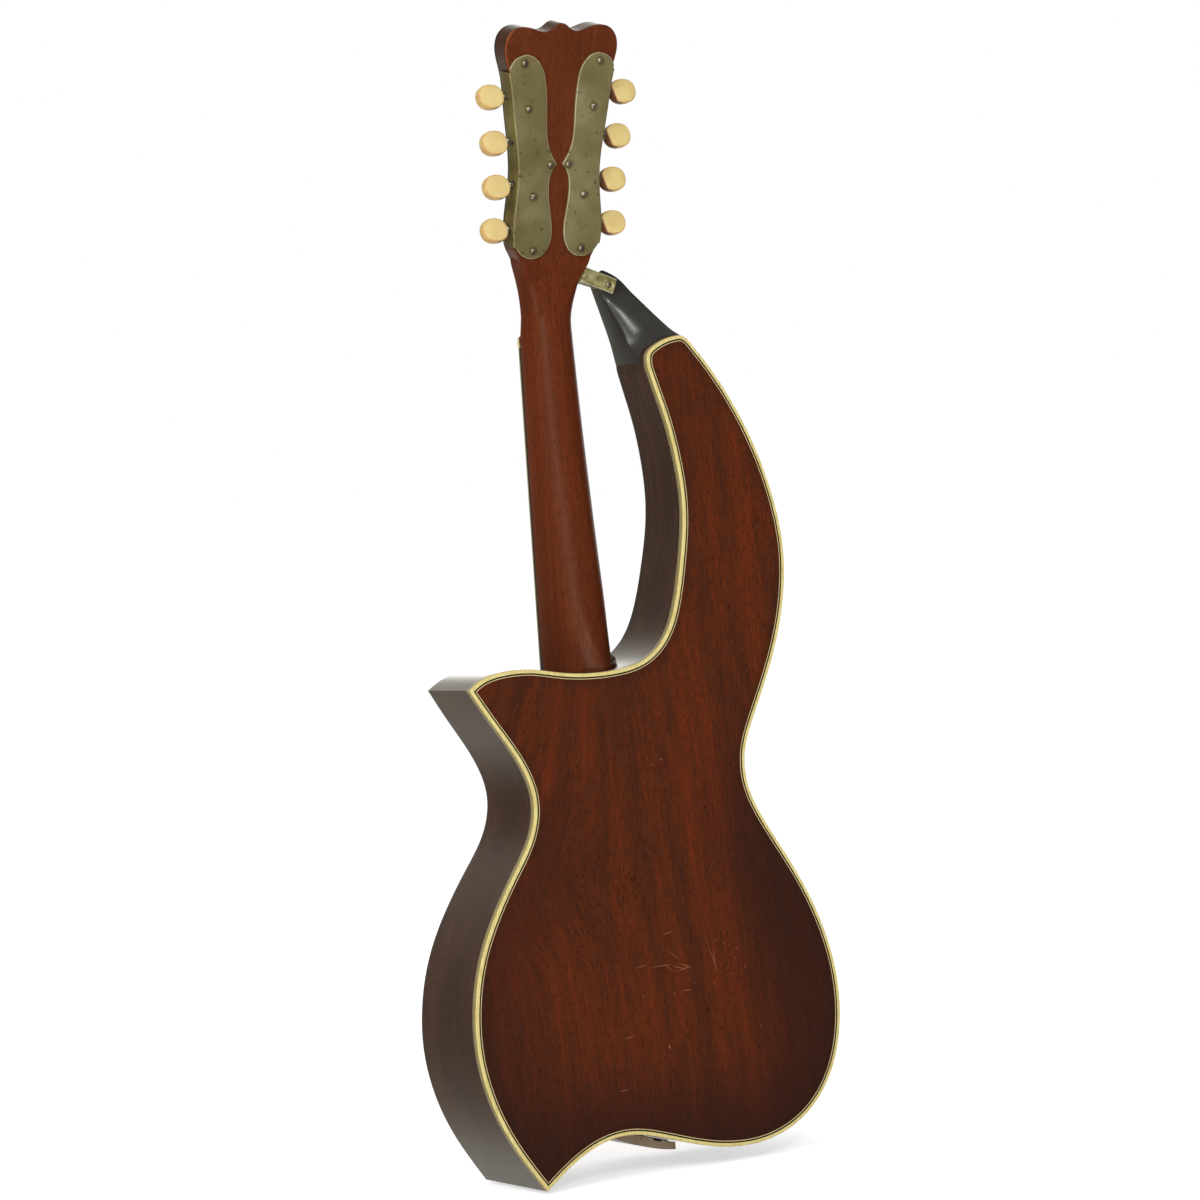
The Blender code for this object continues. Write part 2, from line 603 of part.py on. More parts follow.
def make_key(side, label, height, offset, centre, turn, steel, celluloid, head_frame):
    """A steel worm shaft and the oval button on its end."""
    sides = 8
    turns = 3.0
    half_worm = turns * worm_pitch() / 2
    tang_radius = 1.2
    mesh = bmesh.new()
    low_ring, high_ring = worm_rows(mesh, side * offset, turns, sides)
    stub = ((half_worm + 0.5, SHAFT_RADIUS), (5.6, SHAFT_RADIUS))
    shoulder = centre - BUTTON_HALF_LENGTH - 0.5 - offset
    tang = ((half_worm + 0.5, SHAFT_RADIUS), (shoulder, SHAFT_RADIUS), (shoulder, tang_radius),
            (shoulder + 8.5, tang_radius))
    for ring, direction in ((low_ring, -1), (high_ring, 1)):
        for distance, radius in tang if direction == side else stub:
            x = side * offset + direction * distance
            following = [mesh.verts.new(Vector((x, y, z)) * MM) for y, z in circle(radius, sides)]
            for i in range(sides):
                j = (i + 1) % sides
                mesh.faces.new((ring[i], ring[j], following[j], following[i]))
            ring = following
        mesh.faces.new(ring)
    bmesh.ops.remove_doubles(mesh, verts=mesh.verts, dist=0.001 * MM)
    bmesh.ops.recalc_face_normals(mesh, faces=mesh.faces)
    place_at = (0.0, -SHAFT_DEPTH, height)
    place(f"worm_shaft_{label}", mesh, steel, head_frame, place_at)

    lean = math.radians(turn)
    sections = []
    for rise, size in ((-1.0, 0.78), (-0.55, 1.0), (0.55, 1.0), (1.0, 0.78)):
        depth = rise * BUTTON_HALF_THICKNESS
        section = []
        for along, across in circle(1.0, 16):
            width = BUTTON_HALF_WIDTH * size * across
            section.append((side * centre + BUTTON_HALF_LENGTH * size * along,
                            depth * math.cos(lean) - width * math.sin(lean),
                            depth * math.sin(lean) + width * math.cos(lean)))
        sections.append(section)
    button = lofted(f"button_{label}", sections, celluloid, parent=head_frame, location=place_at,
                    smooth_angle=60)
    bore_ends = (side * (centre - BUTTON_HALF_LENGTH - 2.0), side * (centre + GAP))
    bore = [[(x, y, z) for y, z in circle(tang_radius + GAP, sides)] for x in bore_ends]
    bore_tool = lofted(f"button_bore_cutter_{label}", bore, parent=head_frame, location=place_at)
    boolean(button, bore_tool)


def make_post(side, label, height, offset, brass, head_frame):
    """A string post with the worm gear on its back end."""
    def ring(y, points):
        return [(x, y, z) for x, z in points]

    gear = []
    for tooth in range(GEAR_TEETH):
        middle = 2.0 * math.pi * (tooth + 0.5) / GEAR_TEETH - math.pi / 2
        root, tip = GEAR_ROOT_RADIUS, GEAR_TIP_RADIUS
        for radius, across in ((root, -0.48), (tip, -0.2), (tip, 0.2), (root, 0.48)):
            angle = middle + across / radius
            gear.append((radius * math.cos(angle), radius * math.sin(angle)))
    near = -GEAR_THICKNESS / 2
    far = GEAR_THICKNESS / 2
    place_at = (side * offset, -SHAFT_DEPTH, height + WORM_TO_GEAR)
    post = lofted(f"string_post_{label}", [ring(near, gear), ring(far, gear)], brass, parent=head_frame,
                  location=place_at)
    front = SHAFT_DEPTH - HEAD_WOOD - GAP - HEAD_VENEER - POST_REACH
    profile = ((near + 0.5, POST_RADIUS), (front + 5.8, POST_RADIUS), (front + 4.4, POST_WAIST),
               (front + 1.4, POST_WAIST), (front + 0.8, POST_RADIUS - 0.2), (front, POST_RADIUS - 0.6))
    spindle = lofted(f"post_spindle_tool_{label}", [ring(y, circle(radius, 10)) for y, radius in profile],
                     parent=head_frame, location=place_at)
    boolean(post, spindle, "UNION")


def fret_distance(number):
    """Distance of a fret from the nut, in equal temperament."""
    return SCALE_LENGTH * (1.0 - 2.0 ** (-number / 12.0))


def make_fingerboard(ebony):
    """The ebony board with its frets standing on it, tapering towards the nut."""
    top = -GAP - BOARD_THICKNESS
    profile = [(-GAP, -GAP), (-GAP, top)]
    for number in range(1, FRET_COUNT + 1):
        z = -fret_distance(number)
        crown = top - FRET_HEIGHT
        profile += [(z + 1.0, top), (z + 0.45, crown), (z - 0.45, crown), (z - 1.0, top)]
    profile += [(BOARD_END, top), (BOARD_END, -GAP)]
    sections = []
    for side in (1, -1):
        sections.append([(side * (NUT_HALF_WIDTH - BOARD_WIDENING * z), y, z) for z, y in profile])
    lofted("fingerboard", sections, ebony)


def string_height_at_nut():
    """Depth of the strings where they cross the nut."""
    return -GAP - BOARD_THICKNESS - FRET_HEIGHT - 1.0


def make_nut_and_bridge(bone, ebony):
    """The bone nut, and the ebony bridge with its saddle."""
    nut_top = string_height_at_nut() + GAP + 0.5
    nut = box("nut", (-NUT_HALF_WIDTH, nut_top, 0.0), (NUT_HALF_WIDTH, -GAP, NUT_THICKNESS), bone)
    bevelled(nut, 0.4)
    saddle = SADDLE_TOP + GAP + 0.5
    profile = [(7.0, -GAP), (7.0, -3.0), (2.2, -7.6), (1.1, -7.8), (1.1, saddle)]
    profile += [(-z, y) for z, y in profile[::-1]]
    sections = []
    for x, height in ((-52.0, 0.35), (-36.0, 0.55), (-31.0, 1.0), (31.0, 1.0), (36.0, 0.55), (52.0, 0.35)):
        sections.append([(x, -GAP + (y + GAP) * height, -SCALE_LENGTH + z) for z, y in profile])
    lofted("bridge", sections, ebony)


def bottom_edge(x):
    """Height of the body's lower edge at a place across it."""
    lower = sorted((u, w) for u, w in OUTLINE[TAIL_CORNER:TAIL_CORNER + 26] if w < -400.0)
    return float(np.interp(x, [u for u, _ in lower], [w for _, w in lower]))


def make_tailpiece(nickel):
    """The tailpiece's bent base with four string hooks, and the pressed cover that wraps over it."""
    sheet = 1.0
    sections = []
    for x in np.linspace(TAILPIECE_HALF_WIDTH, -TAILPIECE_HALF_WIDTH, 7):
        fold = bottom_edge(x) - GAP - 0.2
        sections.append([(x, y, w) for y, w in (
            (-GAP - sheet, TAILPIECE_TOP), (-GAP - sheet, fold - sheet), (26.0, fold - sheet), (26.0, fold),
            (-GAP, fold), (-GAP, TAILPIECE_TOP))])
    base = lofted("tailpiece", sections, nickel)
    hooks = bmesh.new()
    for x in HOOK_PLACES:
        hook = [(1.5, -0.8), (-1.5, -0.8), (-1.5, -3.6), (-3.2, -5.4), (-2.2, -6.2), (1.5, -3.6)]
        profile = [(HOOK_HEIGHT + w, y) for w, y in hook]
        loft(hooks, [[(x + across, y, w) for w, y in profile] for across in (-1.2, 1.2)])
    hook_tool = place("tailpiece_hooks_tool", hooks)
    boolean(base, hook_tool, "UNION")

    sheet = 0.8
    centre_z = bottom_edge(0.0)
    sections = []
    for x in np.linspace(COVER_HALF_WIDTH, -COVER_HALF_WIDTH, 9):
        z = bottom_edge(x)
        lift = 1.0 - 0.12 * (x / COVER_HALF_WIDTH) ** 2
        foot = z - centre_z
        low = z - COVER_STANDOFF
        outer = [(-392.0 + 0.2 * foot, -8.0 * lift), (-398.0 + 0.3 * foot, -11.0 * lift),
                 (-424.0 + foot, -11.6 * lift), (z - 1.5, -9.5 * lift), (low, -5.0), (low, COVER_WRAP),
                 (z - 2.0, COVER_WRAP)]
        inner = [(z - 2.0, COVER_WRAP - sheet), (low + sheet, COVER_WRAP - sheet), (low + sheet, -4.8),
                 (z - 1.2, -8.6 * lift), (-423.8 + foot, -10.7 * lift), (-398.3 + 0.3 * foot, -10.1 * lift),
                 (-392.9 + 0.2 * foot, -7.4 * lift)]
        sections.append([(x, y, w) for w, y in outer + inner])
    lofted("tailpiece_cover", sections, nickel, smooth_angle=35)


def make_strings(steel):
    """Eight strings in four pairs, from the hooks over the bridge and nut to the posts."""
    radii = (0.48, 0.48, 0.33, 0.33, 0.19, 0.19, 0.14, 0.14)
    posts = {}
    for side, name, height, offset, _, _ in tuner_stations():
        posts[name] = (side * offset, height + WORM_TO_GEAR)
    # Neighbouring strings wind on at two heights, so that they pass clear of each other's posts
    order = ["bass_1", "bass_2", "bass_3", "bass_4", "treble_4", "treble_3", "treble_2", "treble_1"]
    for number in range(STRING_COUNT):
        pair = number // 2
        within = -1 if number % 2 == 0 else 1
        radius = radii[number]
        nut_x = -10.2 + 6.8 * pair + within * 1.1
        saddle_x = -18.0 + 12.0 * pair + within * 1.3
        hook_x = HOOK_PLACES[pair] + within * (1.2 + GAP + radius)
        post_x, post_v = posts[order[number]]
        rise = 2.2 if order[number][-1] in "13" else 4.9
        head_y = -HEAD_WOOD - GAP - HEAD_VENEER - rise
        post_y = HEAD_BACK_DEPTH + post_v * math.sin(HEAD_TILT) + head_y * math.cos(HEAD_TILT)
        post_z = post_v * math.cos(HEAD_TILT) - head_y * math.sin(HEAD_TILT)
        beside = (POST_RADIUS if rise < 3.0 else POST_WAIST) + GAP + radius
        end = (post_x - math.copysign(beside, post_x), post_y, post_z)
        route = [
            (hook_x, -3.0, HOOK_HEIGHT), (saddle_x, SADDLE_TOP, -SCALE_LENGTH),
            (nut_x, string_height_at_nut(), 0.0), (nut_x, string_height_at_nut() + 0.1, NUT_THICKNESS), end,
        ]
        sections = []
        for i, spot in enumerate(route):
            before = Vector(route[max(i - 1, 0)])
            after = Vector(route[min(i + 1, len(route) - 1)])
            run = (after - before).normalized()
            sideways = run.cross(Vector((0.0, 1.0, 0.0))).normalized()
            upward = sideways.cross(run)
            sections.append([tuple(Vector(spot) + (sideways * a + upward * b)) for a, b in circle(radius, 6)])
        lofted(f"string_{number + 1}", sections, steel, smooth_angle=70)


def make_bracket(nickel):
    """The bent strap that ties the tip of the harp arm to the headstock's foot."""
    frame = frame_empty("bracket_frame", (-29.0, 12.0, 32.5), rotation_y=-BRACKET_SLOPE)
    half = BRACKET_LENGTH / 2
    width = BRACKET_WIDTH / 2
    leg = 8.5
    front = -BRACKET_SHEET / 2
    back = BRACKET_SHEET / 2
    profile = [(-half, back), (half, back), (half, back - leg), (half - BRACKET_SHEET, back - leg),
               (half - BRACKET_SHEET, front), (-half, front)]
    edges = [[(x, y, z) for x, y in profile] for z in (-width, width)]
    strap = lofted("neck_bracket", edges, nickel, parent=frame)
    screw = bmesh.new()
    screw_dome(screw, -7.4, back, 0.0, radius=1.9, height=0.6)
    screw_tool = place("bracket_screw_tool", screw, parent=frame)
    boolean(strap, screw_tool, "UNION")


def build():
    """Clear the scene and make every piece."""
    for leftover in list(bpy.data.objects):
        bpy.data.objects.remove(leftover, do_unlink=True)
    mahogany = material("mahogany_back", "#5E2A16", 0.30)
    neck_mahogany = material("mahogany_neck", "#6B3520", 0.35)
    stained_mahogany = material("mahogany_sides", "#3A2C27", 0.32)
    inner_mahogany = material("mahogany_block", "#7A5138", 0.70)
    spruce = material("spruce_top", "#B9793A", 0.35)
    spruce_brace = material("spruce_brace", "#C9A878", 0.70)
    basswood = material("basswood_lining", "#C8AE86", 0.75)
    black_celluloid = material("black_celluloid", "#2B2622", 0.30)
    ivoroid = material("ivoroid", "#D9C77E", 0.35)
    ebonised = material("ebonised_wood", "#2A2322", 0.30)
    ebony = material("ebony", "#1E1A19", 0.45)
    bone = material("bone", "#E2D3A4", 0.40)
    nickel = material("nickel_silver", "#7B7350", 0.42, 0.9)
    steel = material("steel", "#8C8A82", 0.30, 1.0)
    brass = material("brass", "#A88B4A", 0.35, 1.0)
    celluloid = material("celluloid", "#E6CF8A", 0.30)

    make_plates(spruce, mahogany)
    make_bindings(black_celluloid, ivoroid)
    make_rim(stained_mahogany)
    make_linings_and_blocks(basswood, inner_mahogany)
    make_braces(spruce_brace)
    make_arm_tip(ebonised)
    head_frame = frame_empty("headstock_frame", (0.0, HEAD_BACK_DEPTH, 0.0), rotation_x=-HEAD_TILT)
    neck = make_neck(neck_mahogany, head_frame)
    veneer = make_headstock_veneer(ebonised, head_frame)
    shaft_tool = make_head_cutters(neck, veneer, head_frame)
    for side, label in ((1, "treble"), (-1, "bass")):
        make_tuner_plate(side, label, nickel, head_frame, shaft_tool)
    for side, label, height, offset, centre, turn in tuner_stations():
        make_key(side, label, height, offset, centre, turn, steel, celluloid, head_frame)
        make_post(side, label, height, offset, brass, head_frame)
    make_fingerboard(ebony)
    make_nut_and_bridge(bone, ebony)
    make_tailpiece(nickel)
    make_strings(steel)
    make_bracket(nickel)


build()
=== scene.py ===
import math

import bmesh
import bpy
import numpy as np
from mathutils import Euler, Matrix, Vector
from mathutils.geometry import delaunay_2d_cdt


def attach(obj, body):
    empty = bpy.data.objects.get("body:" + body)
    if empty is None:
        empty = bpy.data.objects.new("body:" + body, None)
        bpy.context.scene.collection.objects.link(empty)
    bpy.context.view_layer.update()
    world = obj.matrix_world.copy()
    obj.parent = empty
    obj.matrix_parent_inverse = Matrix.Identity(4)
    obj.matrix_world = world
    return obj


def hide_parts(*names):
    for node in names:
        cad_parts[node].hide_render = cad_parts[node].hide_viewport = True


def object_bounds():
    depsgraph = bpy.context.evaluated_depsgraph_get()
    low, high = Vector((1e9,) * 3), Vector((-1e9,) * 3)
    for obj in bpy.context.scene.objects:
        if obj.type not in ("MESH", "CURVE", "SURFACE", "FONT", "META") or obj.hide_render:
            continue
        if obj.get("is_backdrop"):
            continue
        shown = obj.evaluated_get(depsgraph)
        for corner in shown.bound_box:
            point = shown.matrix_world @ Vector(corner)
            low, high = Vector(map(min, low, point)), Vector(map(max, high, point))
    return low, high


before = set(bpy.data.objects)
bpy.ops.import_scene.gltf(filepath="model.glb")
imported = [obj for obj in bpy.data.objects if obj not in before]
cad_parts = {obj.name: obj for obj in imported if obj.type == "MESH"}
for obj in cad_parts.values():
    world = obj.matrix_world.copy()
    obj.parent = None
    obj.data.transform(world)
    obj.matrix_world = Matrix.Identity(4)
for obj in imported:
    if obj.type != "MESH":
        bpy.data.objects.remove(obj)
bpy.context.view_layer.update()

MM = 0.001
NECK_BODY = "instrument"


# The flat back
# One board of mahogany, 2.4 mm thick, planed flat and glued to the sides. It leans, so the body is
# deepest at the tail. The maker shaded its edge with dark stain before varnishing it.
BACK_DEPTH_AT_NUT_LINE = 33.5
BACK_TAPER = 0.084
BACK_THICKNESS = 2.4
BINDING_WIDTH = 2.0
BLACK_LINE_WIDTH = 0.85
CREAM_LINE_WIDTH = 0.4
AMBER_VARNISH = (1.0, 0.86, 0.68, 1.0)
OUTLINE_STEP = 1.5
GRID_STEP = 5.0
# Scratches and dents that show pale, as from x and z to x and z, and the width
SCUFFS = (
    (3.5, -336.5, -12.0, -336.5, 0.4), (-12.5, -340.5, -22.5, -339.0, 0.5), (-10.5, -337.5, -19.0, -340.0, 0.4),
    (-14.0, -336.0, -22.5, -340.0, 0.4), (-6.0, -320.5, -14.5, -319.0, 0.35), (-14.0, -351.0, -21.0, -351.5, 0.4),
    (-36.5, -330.0, -37.5, -344.0, 0.4), (-9.5, -351.5, -10.3, -352.0, 0.7), (-22.5, -348.0, -23.3, -347.6, 0.7),
    (-35.0, -349.5, -35.8, -350.0, 0.7), (-44.0, -342.5, -44.7, -343.0, 0.7), (-55.0, -343.5, -56.0, -343.2, 0.8),
    (-43.5, -329.0, -44.2, -329.5, 0.7), (-51.0, -333.0, -51.7, -332.6, 0.8), (9.5, -351.5, 8.7, -351.0, 0.7),
    (-45.0, -323.5, -45.7, -323.2, 0.6), (-47.0, -330.5, -47.6, -330.2, 0.6), (-39.0, -327.0, -39.6, -327.4, 0.6),
    (-49.5, -338.0, -50.2, -337.7, 0.7), (-41.0, -336.0, -41.6, -336.3, 0.5), (-46.0, -346.5, -46.8, -346.2, 0.6),
    (-33.0, -325.0, -39.0, -347.0, 0.25), (-5.0, -335.0, -12.0, -341.0, 0.3), (-9.0, -329.0, -16.0, -334.5, 0.3),
    (-2.5, -378.0, -3.2, -381.0, 0.9), (12.0, -336.0, 4.0, -334.8, 0.35), (-60.0, -375.0, -60.8, -375.4, 0.6),
    (24.0, -372.0, 17.0, -371.2, 0.4), (31.0, -399.0, 24.5, -398.4, 0.35), (-19.0, -228.0, -20.5, -227.0, 0.5), (-13.5, -230.0, -14.5, -229.5, 0.5),
)

# The body's outline seen from the strings, as (x, z) in mm, clockwise from the harp arm's inner corner
ARM_INNER_AND_CUTAWAY = [
    (-43.0, -10.1), (-42.2, -14.5), (-43.3, -21.5), (-45.2, -29.0), (-49.3, -46.0), (-52.5, -68.0),
    (-53.3, -86.0), (-51.6, -104.0), (-47.6, -122.0), (-41.3, -143.5), (-31.5, -162.5), (-16.6, -173.8),
    (1.0, -177.3), (17.6, -177.4), (34.4, -175.4), (51.0, -172.2), (67.8, -171.9), (81.0, -174.6),
    (89.9, -179.7),
]
TREBLE_SIDE = [
    (89.9, -179.7), (80.3, -196.0), (66.6, -218.5), (60.0, -240.5), (64.0, -258.5), (76.5, -277.5),
    (91.0, -298.5), (102.6, -321.0), (109.4, -346.0), (111.0, -366.0), (107.6, -391.0), (98.6, -415.0),
    (80.4, -444.5),
]
BASS_SIDE = [
    (80.4, -444.5), (58.1, -430.1), (41.0, -423.7), (26.0, -422.6), (8.0, -426.6), (-14.3, -433.6),
    (-32.0, -437.2), (-54.5, -437.1), (-73.0, -431.6), (-90.0, -420.0), (-102.6, -403.0), (-110.0, -382.0),
    (-112.2, -358.0), (-107.8, -329.0), (-95.0, -296.0), (-79.3, -266.8), (-72.0, -247.5), (-72.3, -230.0),
    (-80.2, -211.5), (-91.5, -191.0), (-102.3, -168.0), (-109.3, -146.0), (-112.8, -121.0), (-110.7, -94.5),
    (-104.5, -69.0), (-93.5, -41.5), (-80.7, -19.0), (-70.2, -4.3),
]
ARM_END = [
    (-70.2, -4.3), (-67.2, -1.8), (-64.0, -1.0), (-60.6, -1.3), (-56.2, -2.2), (-51.6, -3.8), (-47.8, -5.7),
    (-44.8, -7.7), (-43.0, -10.1),
]


def smooth_curve(points, spacing):
    """A natural cubic spline through the points, sampled about every spacing."""
    knots = np.array(points, dtype=float)
    lengths = np.linalg.norm(np.diff(knots, axis=0), axis=1)
    chord = np.concatenate(([0.0], np.cumsum(lengths)))
    count = len(knots)
    system = np.eye(count)
    pull = np.zeros_like(knots)
    for i in range(1, count - 1):
        system[i, i - 1:i + 2] = lengths[i - 1], 2.0 * (lengths[i - 1] + lengths[i]), lengths[i]
        pull[i] = 6.0 * ((knots[i + 1] - knots[i]) / lengths[i] - (knots[i] - knots[i - 1]) / lengths[i - 1])
    bend = np.linalg.solve(system, pull)
    samples = []
    for place in np.linspace(0.0, chord[-1], max(2, round(chord[-1] / spacing)) + 1):
        i = min(int(np.searchsorted(chord, place, side="right")) - 1, count - 2)
        span = lengths[i]
        a = (chord[i + 1] - place) / span
        b = (place - chord[i]) / span
        curve = ((a ** 3 - a) * bend[i] + (b ** 3 - b) * bend[i + 1]) * span * span / 6.0
        samples.append(a * knots[i] + b * knots[i + 1] + curve)
    return np.array(samples)


def resampled(line, count):
    """The line's points moved along it, so that there are count of them, evenly spaced."""
    run = np.concatenate(([0.0], np.cumsum(np.linalg.norm(np.diff(line, axis=0), axis=1))))
    places = np.linspace(0.0, run[-1], count)
    return np.stack([np.interp(places, run, line[:, k]) for k in range(line.shape[1])], axis=1)


def crossing(first, second):
    """Where the end of the first line crosses the start of the second, or their ends' middle."""
    reach = 30
    for i in range(len(first) - 2, max(len(first) - reach, 0), -1):
        a, run = first[i], first[i + 1] - first[i]
        for j in range(min(reach, len(second) - 1)):
            b, other = second[j], second[j + 1] - second[j]
            cross = run[0] * other[1] - run[1] * other[0]
            if abs(cross) < 1e-12:
                continue
            gap = b - a
            along = (gap[0] * other[1] - gap[1] * other[0]) / cross
            across = (gap[0] * run[1] - gap[1] * run[0]) / cross
            if -1e-6 <= along <= 1.000001 and -1e-6 <= across <= 1.000001:
                return i + 1, j + 1, a + run * along
    return len(first) - 1, 1, (first[-1] + second[0]) / 2


def inset_stretches(distance):
    """The outline's four stretches moved inwards and trimmed where they meet, evenly sampled."""
    lines = []
    for stretch in (ARM_INNER_AND_CUTAWAY, TREBLE_SIDE, BASS_SIDE, ARM_END):
        dense = smooth_curve(stretch, 0.5)
        tangent = np.gradient(dense, axis=0)
        tangent /= np.linalg.norm(tangent, axis=1)[:, None]
        inwards = np.stack([tangent[:, 1], -tangent[:, 0]], axis=1)
        lines.append((dense + inwards * distance, len(dense)))
    starts = [None] * 4
    ends = [None] * 4
    for k in range(4):
        following = (k + 1) % 4
        if distance > 0.0:
            end, start, corner = crossing(lines[k][0], lines[following][0])
        else:
            end, start, corner = len(lines[k][0]) - 1, 1, lines[k][0][-1]
        ends[k] = (end, corner)
        starts[following] = (start, corner)
    stretches = []
    for k, (line, dense_count) in enumerate(lines):
        start, first_corner = starts[k]
        end, last_corner = ends[k]
        trimmed = np.vstack([first_corner, line[start:end], last_corner])
        stretches.append(resampled(trimmed, round(dense_count * 0.5 / OUTLINE_STEP) + 1))
    return stretches


def inset_loop(distance):
    """The whole outline moved inwards, as one closed loop of points."""
    return np.vstack([stretch[:-1] for stretch in inset_stretches(distance)])


def back_depth(z):
    """Depth of the back's outer face at a height."""
    return BACK_DEPTH_AT_NUT_LINE - BACK_TAPER * z


def ring_shell(mesh, rings, closed_along=True, closed_across=False, capped=False):
    """Join like-numbered rings of points with faces."""
    rows = [[mesh.verts.new(Vector(point) * MM) for point in ring] for ring in rings]
    count = len(rows[0])
    pairs = list(zip(rows, rows[1:]))
    if closed_across:
        pairs.append((rows[-1], rows[0]))
    for first, second in pairs:
        for i in range(count if closed_along else count - 1):
            j = (i + 1) % count
            mesh.faces.new((first[i], first[j], second[j], second[i]))
    if capped:
        mesh.faces.new(rows[0][::-1])
        mesh.faces.new(rows[-1])
    return rows


def finished_piece(name, mesh, finish, body, replaces=(), smooth_angle=30.0, turn=None):
    """Turn the mesh into a piece of the object that rides on a body."""
    bmesh.ops.recalc_face_normals(mesh, faces=mesh.faces)
    data = bpy.data.meshes.new(name)
    mesh.to_mesh(data)
    mesh.free()
    if turn is not None:
        data.transform(turn)
    data.shade_smooth()
    data.set_sharp_from_angle(angle=math.radians(smooth_angle))
    data.materials.append(finish)
    piece = bpy.data.objects.new(name, data)
    bpy.context.scene.collection.objects.link(piece)
    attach(piece, body)
    if replaces:
        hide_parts(*replaces)
    return piece


def linear(colour):
    """An sRGB hex colour as linear red, green, blue and alpha."""
    channels = [int(colour[i:i + 2], 16) / 255.0 for i in (1, 3, 5)]
    return (*[c / 12.92 if c <= 0.04045 else ((c + 0.055) / 1.055) ** 2.4 for c in channels], 1.0)


def add(tree, kind, inputs=None, **settings):
    """Add a node with its settings; an input is a value, or another node's output to link."""
    made = tree.nodes.new("ShaderNode" + kind)
    for name, value in settings.items():
        setattr(made, name, value)
    for name, value in (inputs or {}).items():
        socket = made.inputs[name]
        if isinstance(value, bpy.types.NodeSocket):
            tree.links.new(value, socket)
        else:
            socket.default_value = value
    return made


def new_finish(name):
    """A material with its node tree and its shader."""
    finish = bpy.data.materials.new(name)
    finish.use_nodes = True
    return finish, finish.node_tree, finish.node_tree.nodes["Principled BSDF"]


def ramp(tree, factor, stops):
    """A colour ramp with hex colours at the given places."""
    made = add(tree, "ValToRGB", {"Fac": factor})
    elements = made.color_ramp.elements
    while len(elements) < len(stops):
        elements.new(0.5)
    for element, (place, colour) in zip(elements, stops):
        element.position = place
        element.color = linear(colour) if isinstance(colour, str) else (colour, colour, colour, 1.0)
    return made.outputs["Color"]


